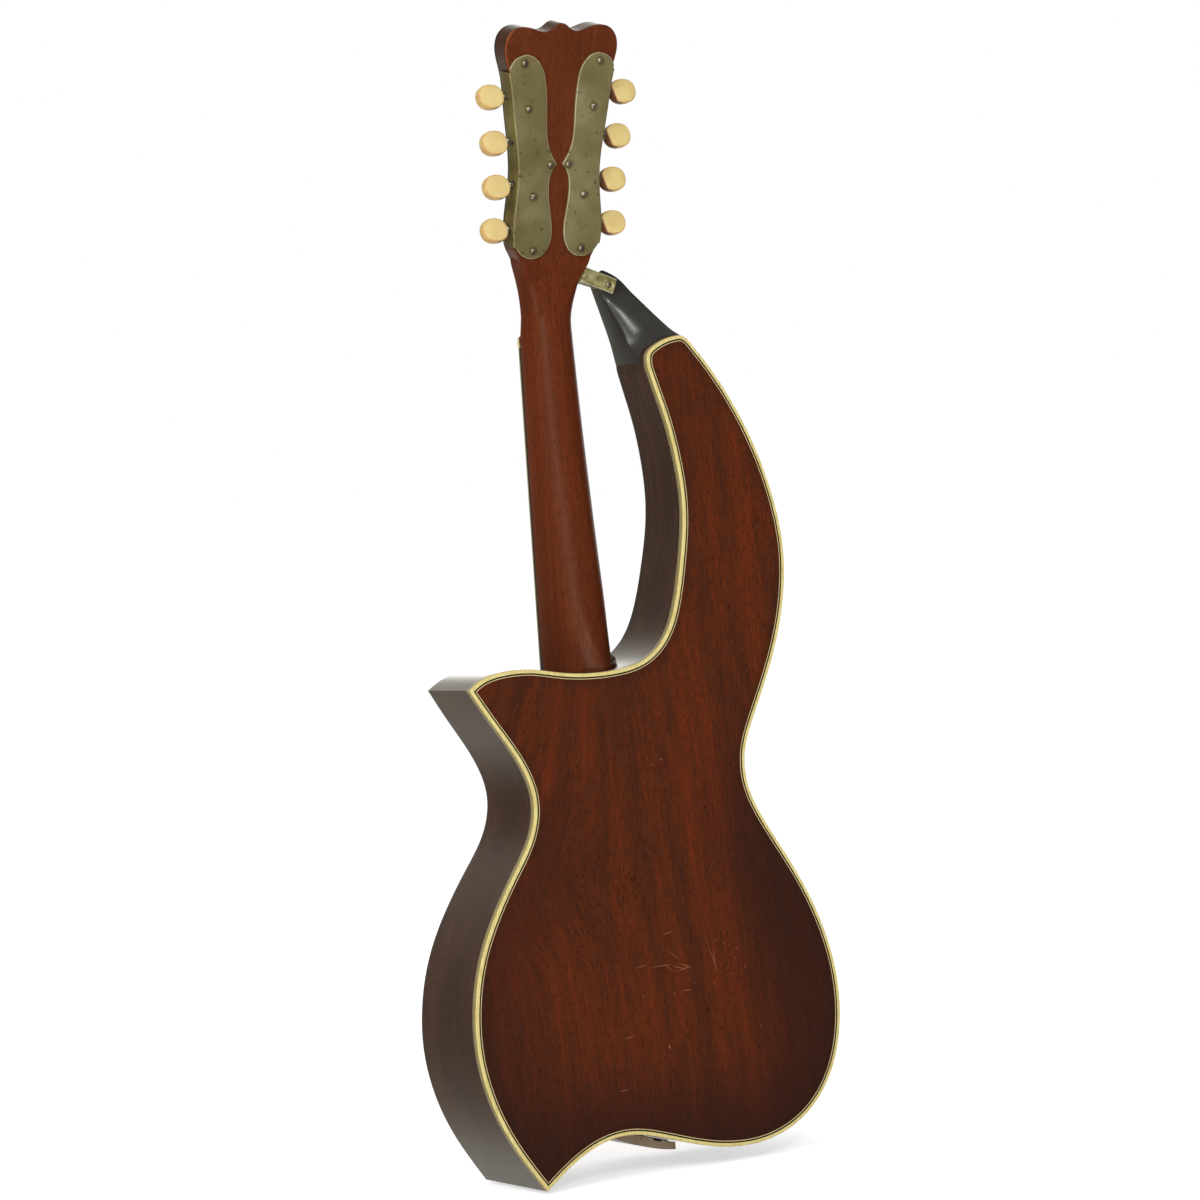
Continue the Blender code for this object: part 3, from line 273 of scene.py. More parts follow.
def varnished_mahogany(name, dark, middle, light, edge=None, gloss=0.34, lean=0.0):
    """Mahogany under old varnish: streaks 10 mm to 1 mm wide up the grain, with short open pores."""
    finish, tree, shader = new_finish(name)
    place = add(tree, "TexCoord").outputs["Object"]
    spot = add(tree, "SeparateXYZ", {0: place})

    def rise(axis, start, end):
        return add(tree, "MapRange", {"Value": spot.outputs[axis], "From Min": start, "From Max": end},
                   interpolation_type="SMOOTHSTEP").outputs[0]

    # The grain leans over by this slope in the upper treble part of the board
    leaning = add(tree, "Math", {0: rise("X", 0.0, 0.05), 1: rise("Z", -0.34, -0.26)}, operation="MULTIPLY").outputs[0]
    height = add(tree, "Math", {0: spot.outputs["Z"], 1: 0.25}, operation="ADD").outputs[0]
    slope = add(tree, "Math", {0: height, 1: lean}, operation="MULTIPLY").outputs[0]
    sideways = add(tree, "Math", {0: leaning, 1: slope}, operation="MULTIPLY").outputs[0]
    shift = add(tree, "CombineXYZ", {"X": sideways}).outputs[0]
    leaned = add(tree, "VectorMath", {0: place, 1: shift}, operation="ADD").outputs["Vector"]

    def noise(across, along, detail=2.0, vector=leaned):
        scaled = add(tree, "Mapping", {"Vector": vector, "Scale": (across, across, along)}).outputs[0]
        return add(tree, "TexNoise", {"Vector": scaled, "Scale": 1.0, "Detail": detail}).outputs["Fac"]

    def blend(share, first, second):
        return add(tree, "Mix", {"Factor": share, "A": first, "B": second}, data_type="RGBA").outputs["Result"]

    streaks = noise(95.0, 2.0)
    for finer in (noise(480.0, 16.0), noise(1100.0, 130.0), noise(30.0, 6.0)):
        streaks = add(tree, "Math", {0: streaks, 1: finer}, operation="ADD").outputs[0]
    colour = ramp(tree, add(tree, "Math", {0: streaks, 1: 4.0}, operation="DIVIDE").outputs[0],
                  [(0.36, dark), (0.5, middle), (0.64, light)])
    pore_colour = tuple(c * 0.35 for c in linear(dark)[:3]) + (1.0,)
    pores = noise(1900.0, 330.0, 1.0)
    colour = blend(ramp(tree, pores, [(0.56, 0.0), (0.7, 0.6)]), colour, pore_colour)
    if edge:
        distance = add(tree, "Attribute", attribute_name="edge_distance").outputs["Fac"]
        cloud = noise(28.0, 28.0, 3.0, place)
        uneven = add(tree, "Math", {0: cloud, 1: 10.0, 2: distance}, operation="MULTIPLY_ADD").outputs[0]
        shade = add(tree, "MapRange", {"Value": uneven, "From Min": 4.5, "From Max": 15.0, "To Min": 0.55,
                                       "To Max": 0.0}, interpolation_type="SMOOTHSTEP").outputs[0]
        # The board's bass half is darker below the waist
        bass_half_darkening = add(tree, "Math", {0: rise("X", -0.02, -0.085), 1: rise("Z", -0.16, -0.32)},
                    operation="MULTIPLY").outputs[0]
        bass_half_darkening = add(tree, "Math", {0: bass_half_darkening, 1: 0.46}, operation="MULTIPLY").outputs[0]
        colour = blend(bass_half_darkening, colour, linear(edge))
        # The stain reaches 50 mm inwards round the lower half
        broad = add(tree, "MapRange", {"Value": distance, "From Min": 0.0, "From Max": 62.0, "To Min": 0.6,
                                       "To Max": 0.0}, interpolation_type="SMOOTHSTEP").outputs[0]
        broad = add(tree, "Math", {0: broad, 1: rise("Z", -0.19, -0.32)}, operation="MULTIPLY").outputs[0]
        colour = blend(broad, colour, linear(edge))
        tail = add(tree, "Math", {0: rise("Z", -0.385, -0.435), 1: 0.45}, operation="MULTIPLY").outputs[0]
        colour = blend(tail, colour, linear(edge))
        colour = blend(shade, colour, linear(edge))
    tree.links.new(colour, shader.inputs["Base Color"])
    shader.inputs["Roughness"].default_value = gloss
    ripple = add(tree, "Bump", {"Height": pores, "Strength": 0.06, "Distance": 0.00004})
    tree.links.new(ripple.outputs[0], shader.inputs["Normal"])
    shader.inputs["IOR"].default_value = 1.46
    shader.inputs["Specular Tint"].default_value = AMBER_VARNISH
    return finish


def flat_panel(mesh, boundary, holes, front, behind, grid=GRID_STEP):
    """A closed panel between two depths: a fine triangle grid on both faces, and walls between them."""
    loops = [boundary] + holes
    points = [tuple(p) for loop in loops for p in loop]
    edges = []
    start = 0
    for loop in loops:
        edges += [(start + i, start + (i + 1) % len(loop)) for i in range(len(loop))]
        start += len(loop)
    rim = np.array(points)
    low, high = rim.min(axis=0), rim.max(axis=0)
    for x in np.arange(low[0], high[0], grid):
        for z in np.arange(low[1], high[1], grid):
            if np.min(np.hypot(rim[:, 0] - x, rim[:, 1] - z)) > 0.6 * grid and inside((x, z), loops):
                points.append((x, z))
    triangles = delaunay_2d_cdt([Vector(p) for p in points], edges, [], 1, 1e-5)
    spots, faces = triangles[0], triangles[2]
    near = [mesh.verts.new(Vector((p.x, front(p.y), p.y)) * MM) for p in spots]
    far = [mesh.verts.new(Vector((p.x, behind(p.y), p.y)) * MM) for p in spots]
    for face in faces:
        centre = sum((spots[i] for i in face), Vector((0.0, 0.0))) / 3.0
        if inside(centre, loops):
            mesh.faces.new([near[i] for i in face])
            mesh.faces.new([far[i] for i in face][::-1])
    lone = [v for v in mesh.verts if not v.link_faces]
    bmesh.ops.delete(mesh, geom=lone, context="VERTS")
    open_edges = [e for e in mesh.edges if e.is_boundary]
    partner = {v: far[i] for i, v in enumerate(near)}
    for edge in open_edges:
        a, b = edge.verts
        if a in partner and b in partner:
            mesh.faces.new((a, b, partner[b], partner[a]))


def inside(spot, loops):
    """Whether a point lies inside the first loop and outside the others."""
    hits = 0
    for loop in loops:
        x, z = loop[:, 0], loop[:, 1]
        x2, z2 = np.roll(x, -1), np.roll(z, -1)
        above = (z > spot[1]) != (z2 > spot[1])
        at = x + (spot[1] - z) * (x2 - x) / np.where(z2 == z, 1e-12, z2 - z)
        hits += int(np.count_nonzero(above & (spot[0] < at)))
    return hits % 2 == 1


def mark_edge_distance(piece, outline):
    """Store each vertex's distance from the outline in mm, for the shaded edge."""
    data = piece.data
    places = np.array([v.co for v in data.vertices]) / MM
    distances = [float(np.min(np.hypot(outline[:, 0] - p[0], outline[:, 1] - p[2]))) for p in places]
    attribute = data.attributes.new("edge_distance", "FLOAT", "POINT")
    attribute.data.foreach_set("value", np.array(distances, dtype=np.float32))


outline = inset_loop(0.0)
panel_edge = inset_loop(BINDING_WIDTH + BLACK_LINE_WIDTH + CREAM_LINE_WIDTH)
mesh = bmesh.new()
flat_panel(mesh, panel_edge, [], back_depth, lambda z: back_depth(z) - BACK_THICKNESS)
shaded_mahogany = varnished_mahogany("mahogany_shaded_varnish", "#402014", "#552510", "#6C2A10", "#2B1914", 0.27, 0.5)
back = finished_piece("back", mesh, shaded_mahogany, NECK_BODY, ["back_plate"])
mark_edge_distance(back, outline)

scuffed, _, shader = new_finish("varnish_scuffed_pale")
shader.inputs["Base Color"].default_value = linear("#8A5030")
shader.inputs["Roughness"].default_value = 0.7
mesh = bmesh.new()
for x, z, x_end, z_end, width in SCUFFS:
    run = Vector((x_end - x, z_end - z))
    across = Vector((run.y, -run.x)).normalized() * width / 2.0
    middle = Vector((x, z)) + run * 0.5
    corners = (Vector((x, z)), middle + across, Vector((x_end, z_end)), middle - across)
    ring_shell(mesh, [[(p.x, back_depth(p.y) + lift, p.y) for p in corners] for lift in (-0.05, 0.015)], capped=True)
finished_piece("back_scuffs", mesh, scuffed, NECK_BODY)


# The back's binding and purfling
# A strip of grained ivoroid let into the edge where the back meets the sides, scraped flush and
# rounded a little. Inside it lie a black and a cream line, and on the sides a fainter pair.
BACK_BINDING_HEIGHT = 3.0
SIDE_LINES = (("side_line_dark_outer", 0.35, True), ("side_line_pale", 0.3, False),
              ("side_line_dark_inner", 0.35, True))


def edge_band(name, profile, depth, finish, replaces=()):
    """A closed strip round the body; its profile is (inset, height from the face) pairs."""
    mesh = bmesh.new()
    rings = [[(x, depth(z, rise), z) for x, z in inset_loop(distance)] for distance, rise in profile]
    ring_shell(mesh, rings, closed_across=True)
    return finished_piece(name, mesh, finish, NECK_BODY, replaces)


def from_back(z, rise):
    """Depth of a place that lies so far under the back's face."""
    return back_depth(z) - rise


ivoroid, tree, shader = new_finish("ivoroid_scraped")
place = add(tree, "TexCoord").outputs["Object"]
fibre_at = add(tree, "Mapping", {"Vector": place, "Scale": (1400.0, 1400.0, 90.0)}).outputs[0]
fibre = add(tree, "TexNoise", {"Vector": fibre_at, "Scale": 1.0, "Detail": 2.0}).outputs["Fac"]
# The rounded outer edge, which faces sideways, is darkened by the way it faces: painted shade
facing = add(tree, "SeparateXYZ", {0: add(tree, "TexCoord").outputs["Normal"]}).outputs["Y"]
edge_shade = add(tree, "MapRange", {"Value": facing, "From Min": 0.6, "From Max": 0.1, "To Max": 0.65}).outputs[0]
strip = ramp(tree, fibre, [(0.35, "#C9B670"), (0.6, "#DCCC8A")])
strip = add(tree, "Mix", {"Factor": edge_shade, "A": strip, "B": linear("#5E5530")}, data_type="RGBA").outputs["Result"]
tree.links.new(strip, shader.inputs["Base Color"])
shader.inputs["Roughness"].default_value = 0.32
shader.inputs["Subsurface Weight"].default_value = 0.1
shader.inputs["Subsurface Scale"].default_value = 0.001

black_line, _, shader = new_finish("black_dyed_maple_line")
shader.inputs["Base Color"].default_value = linear("#0E0C0A")
shader.inputs["Roughness"].default_value = 0.3

pale_line, _, shader = new_finish("pale_holly_line")
shader.inputs["Base Color"].default_value = linear("#CDB682")
shader.inputs["Roughness"].default_value = 0.3

edge_band("back_edge_ivoroid",
          [(0.9, 0.0), (0.35, 0.12), (0.1, 0.4), (0.0, 0.9), (0.0, BACK_BINDING_HEIGHT),
           (BINDING_WIDTH, BACK_BINDING_HEIGHT), (BINDING_WIDTH, 0.0)],
          from_back, ivoroid, ["back_binding"])
inner = BINDING_WIDTH
for name, width, finish, slot in (("back_line_black", BLACK_LINE_WIDTH, black_line, "black_celluloid"),
                                  ("back_line_cream", CREAM_LINE_WIDTH, pale_line, "ivoroid")):
    edge_band(name, [(inner, 0.0), (inner, 1.2), (inner + width, 1.2), (inner + width, 0.0)], from_back, finish)
    inner += width
below = BACK_BINDING_HEIGHT
for name, height, is_dark in SIDE_LINES:
    edge_band(name, [(0.0, below), (0.0, below + height), (1.0, below + height), (1.0, below)], from_back,
              black_line if is_dark else pale_line)
    below += height


# The bent sides
# Four strips of mahogany, 2 mm thick, bent over a hot iron, glued to the linings and stained
# nearly black before they were varnished.
TOP_BINDING_HEIGHT = 2.0
SIDE_THICKNESS = 2.0

stained_mahogany = varnished_mahogany("mahogany_stained_varnish", "#2C1A15", "#3C261D", "#4C3124", None, 0.21)


def side_wall(name, line, inner_line, replaces):
    """A bent side between the top's and the back's binding."""
    mesh = bmesh.new()
    low_edge = TOP_BINDING_HEIGHT
    heights = np.linspace(0.0, 1.0, 5)

    def column(points, share):
        return [(x, low_edge + (back_depth(z) - below - low_edge) * share, z) for x, z in points]

    rings = [column(line, share) for share in heights]
    rings += [column(inner_line, share) for share in heights[::-1]]
    ring_shell(mesh, list(map(list, zip(*rings))), closed_along=True, capped=True)
    return finished_piece(name, mesh, stained_mahogany, NECK_BODY, replaces)


outer_lines = inset_stretches(0.0)
inner_lines = inset_stretches(SIDE_THICKNESS)
split = int(np.argmin(np.abs(outer_lines[0][:, 0])))
side_wall("side_harp_arm", outer_lines[0][:split + 1], inner_lines[0][:split + 1], ["rim_harp_arm"])
side_wall("side_cutaway", outer_lines[0][split:], inner_lines[0][split:], ["rim_cutaway"])
side_wall("side_treble", outer_lines[1], inner_lines[1], ["rim_treble"])
side_wall("side_bass", outer_lines[2], inner_lines[2], ["rim_bass"])
side_wall("side_arm_end", outer_lines[3], inner_lines[3], [])


# The spruce top
# Two boards of spruce joined down the middle, 2.6 mm thick, varnished amber, with a soundhole ringed
# by inlaid lines. A black strip guards its edge.
TOP_THICKNESS = 2.6
SOUNDHOLE_RADIUS = 22.0
SOUNDHOLE_HEIGHT = -262.0
ROSETTE_LINES = ((25.0, 0.6, True), (25.6, 1.2, False), (26.8, 0.6, True), (29.0, 0.5, True))


def from_top(z, rise):
    """Depth of a place that lies so far under the top's face."""
    return rise


def circle(radius, count, centre=(0.0, 0.0)):
    """Points round a circle, as pairs."""
    turns = np.linspace(0.0, 2.0 * math.pi, count, endpoint=False)
    return np.stack([centre[0] + radius * np.cos(turns), centre[1] + radius * np.sin(turns)], axis=1)


spruce, tree, shader = new_finish("spruce_amber_varnish")
place = add(tree, "TexCoord").outputs["Object"]
wander = add(tree, "TexNoise", {"Vector": place, "Scale": 9.0, "Detail": 1.0}).outputs["Fac"]
across = add(tree, "SeparateXYZ", {0: place}).outputs["X"]
shifted = add(tree, "Math", {0: wander, 1: 0.004, 2: across}, operation="MULTIPLY_ADD").outputs[0]
# Year rings lie 1 to 2 mm apart and vary from year to year
year_at = add(tree, "CombineXYZ", {"X": shifted}).outputs[0]
years = add(tree, "TexNoise", {"Vector": year_at, "Scale": 160.0, "Detail": 1.0}).outputs["Fac"]
apart = add(tree, "Math", {0: years, 1: 0.0045, 2: shifted}, operation="MULTIPLY_ADD").outputs[0]
rings = add(tree, "Math", {0: apart, 1: 2.0 * math.pi / 0.0014}, operation="MULTIPLY").outputs[0]
wave = add(tree, "Math", {0: rings}, operation="SINE").outputs[0]
faded = add(tree, "Math", {0: wave, 1: years, 2: 0.5}, operation="MULTIPLY_ADD").outputs[0]
tint = ramp(tree, faded, [(0.1, "#C48A44"), (0.6, "#BD823D"), (1.0, "#A0662D")])
cloud = add(tree, "TexNoise", {"Vector": place, "Scale": 18.0, "Detail": 4.0}).outputs["Fac"]
mixed = add(tree, "Mix", {"Factor": ramp(tree, cloud, [(0.35, 0.0), (0.75, 0.5)]), "A": tint, "B": linear("#A86A2E")},
            data_type="RGBA").outputs["Result"]
tree.links.new(mixed, shader.inputs["Base Color"])
shader.inputs["Roughness"].default_value = 0.32

mesh = bmesh.new()
hole = circle(SOUNDHOLE_RADIUS, 72, (0.0, SOUNDHOLE_HEIGHT))
flat_panel(mesh, inset_loop(BINDING_WIDTH), [hole], lambda z: 0.0, lambda z: TOP_THICKNESS, 12.0)
finished_piece("top", mesh, spruce, NECK_BODY, ["top_plate"])

for i, (radius, width, is_dark) in enumerate(ROSETTE_LINES):
    mesh = bmesh.new()
    profile = ((radius, -0.03), (radius, 0.5), (radius + width, 0.5), (radius + width, -0.03))
    ring_shell(mesh, [[(x, y, z) for x, z in circle(size, 96, (0.0, SOUNDHOLE_HEIGHT))] for size, y in profile],
               closed_across=True)
    finished_piece(f"rosette_line_{i + 1}", mesh, black_line if is_dark else pale_line, NECK_BODY)

celluloid_black, _, shader = new_finish("black_celluloid_polished")
shader.inputs["Base Color"].default_value = linear("#211A17")
shader.inputs["Roughness"].default_value = 0.25
edge_band("top_edge_black",
          [(0.9, 0.0), (0.35, 0.12), (0.1, 0.4), (0.0, 0.9), (0.0, TOP_BINDING_HEIGHT),
           (BINDING_WIDTH, TOP_BINDING_HEIGHT), (BINDING_WIDTH, 0.0)],
          from_top, celluloid_black, ["top_binding"])


# Inside the body
# Linings of basswood, braces of spruce and blocks of mahogany, all bare wood, seen only through
# the soundhole. They keep the solids' own shapes.
def bare_wood(name, pale, dark, along):
    """Unfinished wood with 1 mm grain lines along one axis."""
    finish, tree, shader = new_finish(name)
    place = add(tree, "TexCoord").outputs["Object"]
    scale = [900.0, 900.0, 900.0]
    scale["xyz".index(along)] = 20.0
    grain_at = add(tree, "Mapping", {"Vector": place, "Scale": scale}).outputs[0]
    grain = add(tree, "TexNoise", {"Vector": grain_at, "Scale": 1.0, "Detail": 3.0}).outputs["Fac"]
    tree.links.new(ramp(tree, grain, [(0.3, pale), (0.7, dark)]), shader.inputs["Base Color"])
    shader.inputs["Roughness"].default_value = 0.75
    return finish


def refinish(node, finish):
    """Give one of the solids its finish."""
    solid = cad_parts[node]
    solid.data.materials.clear()
    solid.data.materials.append(finish)


bare_spruce = bare_wood("spruce_bare", "#CDAF80", "#B48D58", "x")
bare_basswood = bare_wood("basswood_bare", "#CDB48C", "#BDA076", "z")
bare_mahogany = bare_wood("mahogany_bare", "#80553B", "#68422C", "z")
for node in ("top_brace_upper", "top_brace_lower", "back_brace_upper", "back_brace_lower"):
    refinish(node, bare_spruce)
for node in ("top_lining", "back_lining"):
    refinish(node, bare_basswood)
for node in ("neck_block", "tail_block"):
    refinish(node, bare_mahogany)


# The harp arm's tip
# A solid block at the end of the hollow arm, carved to a saddle that falls away to the strap. Its
# inner side is flat and meets the back in a ridge. It is stained black and varnished.
# Each station: inner edge x and z, outer edge x and z, depth inside and outside, bulge, crown
TIP_STATIONS = [
    (-42.8, -17.0, -72.2, -9.5, 30.6, 30.7, 5.0, -2.4), (-41.4, -10.6, -68.3, -2.0, 26.4, 30.4, 4.4, -0.8),
    (-40.4, -5.5, -64.9, 1.6, 20.4, 27.6, 3.2, 0.8), (-38.8, 1.2, -61.9, 6.4, 16.6, 23.2, 2.2, 1.9),
    (-36.4, 9.3, -57.6, 12.9, 13.7, 18.8, 1.4, 2.3), (-33.9, 17.5, -53.2, 19.6, 11.4, 14.8, 1.0, 1.7),
    (-32.2, 23.0, -49.6, 25.0, 10.4, 11.6, 0.8, 0.6), (-30.6, 28.4, -45.6, 29.8, 10.6, 10.9, 1.0, 0.1),
    (-29.6, 32.0, -41.7, 33.2, 10.8, 11.0, 1.6, 0.0), (-29.4, 34.8, -37.6, 35.7, 10.8, 10.9, 1.6, 0.0),
    (-30.6, 36.8, -34.6, 37.1, 10.8, 10.8, 0.8, 0.0),
]


def rounded(corners, steps=4):
    """A closed outline of (x, y, radius) corners, each corner eased into a curve."""
    points = []
    for i, (x, y, radius) in enumerate(corners):
        here = Vector((x, y))
        if radius == 0.0:
            points.append((x, y))
            continue
        before = Vector(corners[i - 1][:2]) - here
        after = Vector(corners[(i + 1) % len(corners)][:2]) - here
        first = here + before.normalized() * min(radius, before.length * 0.45)
        last = here + after.normalized() * min(radius, after.length * 0.45)
        for k in range(steps + 1):
            t = k / steps
            points.append(tuple(first * (1 - t) ** 2 + here * 2 * t * (1 - t) + last * t ** 2))
    return points


def tip_section(station):
    """One section of the tip: flat inside, crowned or hollow behind, round outside."""
    x_in, z_in, x_out, z_out, inside_depth, outside_depth, bulge, crown = station
    chord = Vector((x_out - x_in, z_out - z_in))
    outwards = Vector((chord.y, -chord.x)).normalized()
    corners = [(0.0, 0.0, 0.8), (0.0, inside_depth, 0.9)]
    for i in range(1, 16):
        share = (i / 16) ** 1.3
        depth = inside_depth + (outside_depth - inside_depth) * share + crown * math.sin(math.pi * share ** 0.6)
        corners.append((chord.length * share, depth, 0.0))
    corners += [(chord.length, outside_depth, 1.4), (chord.length, 0.0, 0.8)]
    points = []
    for along, y in rounded(corners):
        share = along / chord.length
        spot = Vector((x_in, z_in)) + chord * share + outwards * bulge * math.sin(math.pi * share)
        points.append((spot.x, y, spot.y))
    return points


def hidden_tool(name, mesh, turn=None):
    """A solid that only cuts other pieces."""
    bmesh.ops.recalc_face_normals(mesh, faces=mesh.faces)
    data = bpy.data.meshes.new(name)
    mesh.to_mesh(data)
    mesh.free()
    if turn is not None:
        data.transform(turn)
    tool = bpy.data.objects.new(name, data)
    bpy.context.scene.collection.objects.link(tool)
    tool.hide_render = True
    tool.display_type = "WIRE"
    return tool


def cut(piece, tool):
    """Take the tool's solid away from the piece."""
    change = piece.modifiers.new(tool.name, "BOOLEAN")
    change.object = tool
    change.solver = "EXACT"


mesh = bmesh.new()
grown = inset_loop(-0.04)
ring_shell(mesh, [[(x, y, z) for x, z in grown] for y in (-20.0, 90.0)], capped=True)
body_space = hidden_tool("body_space_tool", mesh)

ebonised, tree, shader = new_finish("wood_ebonised_varnish")
place = add(tree, "TexCoord").outputs["Object"]
cloud = add(tree, "TexNoise", {"Vector": place, "Scale": 70.0, "Detail": 4.0}).outputs["Fac"]
tree.links.new(ramp(tree, cloud, [(0.3, "#2D2A26"), (0.7, "#36342E")]), shader.inputs["Base Color"])
tree.links.new(ramp(tree, cloud, [(0.3, 0.22), (0.8, 0.3)]), shader.inputs["Roughness"])
mesh = bmesh.new()
ring_shell(mesh, [tip_section(station) for station in smooth_curve(TIP_STATIONS, 1.6)], capped=True)
tip = finished_piece("harp_arm_tip", mesh, ebonised, NECK_BODY, ["arm_tip"])
cut(tip, body_space)


# The neck and headstock
# Mahogany carved in one: a round back that swells into the heel at the body and squares off into a
# headstock, which leans back. Its top is scalloped and the varnish is worn off its top edge.
HEAD_TILT = math.radians(13.54)
HEAD_BACK_DEPTH = 8.9
HEAD_WOOD = 11.7
HEAD_TURN = Matrix.Translation((0.0, HEAD_BACK_DEPTH * MM, 0.0)) @ Matrix.Rotation(-HEAD_TILT, 4, "X")
NUT_THICKNESS = 5.0
TUNER_SPACING = 23.8
SHAFT_DEPTH = 3.9
WORM_TO_GEAR = 6.9
POST_RADIUS = 3.0


def head_face(z, depth=0.0):
    """Depth of a plane of the headstock at a height; 0 is its back face."""
    return HEAD_BACK_DEPTH - depth / math.cos(HEAD_TILT) + z * math.tan(HEAD_TILT)


NECK_FACE = -1.9
NUT_SEAT = -3.5
# Each station: height, half width, depth of the back and how square the section is
NECK_STATIONS = [
    (-181.0, 19.0, 37.0, 1.7), (-176.0, 18.3, 35.0, 1.7), (-171.5, 18.0, 33.0, 1.68), (-165.0, 17.9, 29.8, 1.82),
    (-155.0, 17.8, 26.6, 2.02), (-141.0, 17.5, 24.4, 2.18), (-120.0, 17.0, 22.2, 2.2), (-97.0, 16.5, 20.0, 2.2),
    (-64.0, 15.8, 17.2, 2.2), (-30.0, 15.0, 15.4, 2.2), (0.0, 14.4, 14.7, 2.2), (NUT_THICKNESS + 0.2, 14.3, 14.6, 2.2),
]
# The same for the throat, and the depth at which the headstock's flat back cuts the round
THROAT_STATIONS = [
    (NUT_THICKNESS + 0.2, 14.3, 14.6, 2.2, 14.6), (12.0, 14.0, 14.5, 2.4, 14.5), (20.0, 14.7, 15.8, 2.6, 15.2),
    (27.0, 16.0, 17.4, 3.0, 16.2), (33.0, 17.5, 19.2, 3.4, head_face(33.0) + 0.02),
    (39.0, 19.4, 24.5, 4.2, head_face(39.0) + 0.03), (44.5, 21.2, 37.0, 6.0, head_face(44.5) + 0.03),
    (49.0, 22.0, 55.0, 8.0, head_face(49.0) - 0.1),
]
# The heel's foot, and the old glue above it, whose dark colour is also painted shade: height above the body's outline,
# half width, depth and squareness
FOOT_STATIONS = (
    (-3.0, 18.8, 35.0, 1.6), (0.0, 19.4, 35.6, 1.65), (1.0, 20.0, 35.9, 1.7), (1.7, 20.2, 35.9, 1.72),
    (2.05, 20.0, 35.6, 1.72),
)
GLUE_AND_SHADE_STATIONS = ((2.0, 19.9, 33.0, 1.88), (2.6, 19.5, 32.8, 1.86), (3.4, 18.8, 32.4, 1.8), (4.6, 17.9, 32.0, 1.74))
# Half of the headstock's outline: distance from the centre line, distance up the headstock
HEAD_HALF = [
    (20.0, 43.0), (22.0, 47.0), (24.9, 52.5), (26.0, 59.0), (26.0, 66.0), (24.8, 79.0), (23.9, 92.0),
    (24.6, 104.0), (26.3, 116.0), (28.4, 131.0), (31.0, 147.0), (33.6, 156.0), (34.1, 162.0), (32.6, 167.0),
    (29.0, 170.6), (23.0, 171.9), (15.5, 170.4), (9.8, 169.0), (5.2, 170.6), (2.0, 172.9), (0.0, 173.4),
]
HEAD_EDGE = smooth_curve(HEAD_HALF, 1.2)
POST_OFFSETS = (14.6, 15.2, 16.6, 18.6)
BUTTON_CENTRES = {"treble": (36.4, 35.8, 38.0, 41.0), "bass": (36.0, 35.3, 37.4, 39.7)}
BUTTON_TURNS = {"treble": (28.0, 24.0, 23.0, 26.0), "bass": (24.0, 22.0, 24.0, 22.0)}
# The old shafts are a little bent, so the buttons hang this much low
BUTTON_DROOPS = {"treble": (0.6, 1.0, 1.1, 0.1), "bass": (0.7, 0.7, 1.0, 0.9)}


def tuner_stations():
    """Side, label, shaft height, post offset, button centre and button turn of each tuner."""
    for side, label, first_height in ((1, "treble", 63.4), (-1, "bass", 64.2)):
        for i in range(4):
            yield (side, f"{label}_{i + 1}", first_height + TUNER_SPACING * i, POST_OFFSETS[i],
                   BUTTON_CENTRES[label][i], (BUTTON_TURNS[label][i], BUTTON_DROOPS[label][i]))


def neck_section(station, front):
    """The neck's section: flat in front, round behind, and bent where a flat back cuts the round."""
    z, half_width, back, squareness = station[:4]
    round_from = max(front, 0.0)
    flat = station[4] if len(station) > 4 else back
    cut_share = min(1.0, (flat - round_from) / (back - round_from))
    bend = min(math.asin(cut_share ** (squareness / 2.0)), math.pi / 3.0)
    turns = [*np.linspace(0.0, bend, 17)[:-1], *np.linspace(bend, math.pi - bend, 17),
             *np.linspace(math.pi - bend, math.pi, 17)[1:]]
    points = [(half_width, front - 0.001, z)]
    for turn in turns:
        reach = abs(math.cos(turn)) ** (2.0 / squareness)
        depth = abs(math.sin(turn)) ** (2.0 / squareness)
        across = math.copysign(half_width * reach, math.cos(turn))
        points.append((across, min(round_from + (back - round_from) * depth, flat), z))
    points.append((-half_width, front - 0.001, z))
    return points


def moved_in(loop, distance):
    """A closed anticlockwise loop moved inwards, its corners mitred; distance can differ by point."""
    loop = np.array(loop, dtype=float)
    before = loop - np.roll(loop, 1, axis=0)
    after = np.roll(loop, -1, axis=0) - loop
    first = np.stack([-before[:, 1], before[:, 0]], axis=1) / np.linalg.norm(before, axis=1)[:, None]
    second = np.stack([-after[:, 1], after[:, 0]], axis=1) / np.linalg.norm(after, axis=1)[:, None]
    mitre = first + second
    mitre /= np.linalg.norm(mitre, axis=1)[:, None]
    lengthened = distance / np.maximum(np.sum(mitre * first, axis=1), 0.3)
    return loop + mitre * lengthened[:, None]


def turned(mesh, profile, centre, axis, sides=24):
    """A turned shape: (distance along the axis, radius) pairs, closed at both ends."""
    axis = Vector(axis).normalized()
    side = axis.orthogonal().normalized()
    other = axis.cross(side)
    angles = [2.0 * math.pi * i / sides for i in range(sides)]
    rings = [[Vector(centre) + axis * along + (side * math.cos(a) + other * math.sin(a)) * radius for a in angles]
             for along, radius in profile]
    return ring_shell(mesh, rings, capped=True)


def neck_face(z):
    """Depth of the neck's front, where the fingerboard is glued on."""
    return float(np.interp(z, [-172.0, -168.0], [0.0, NECK_FACE]))


neck_mahogany = varnished_mahogany("mahogany_neck_varnish", "#512311", "#5F2A14", "#6E3417", None, 0.34)
tree = neck_mahogany.node_tree
shader = tree.nodes["Principled BSDF"]
shader.inputs["Specular IOR Level"].default_value = 0.16
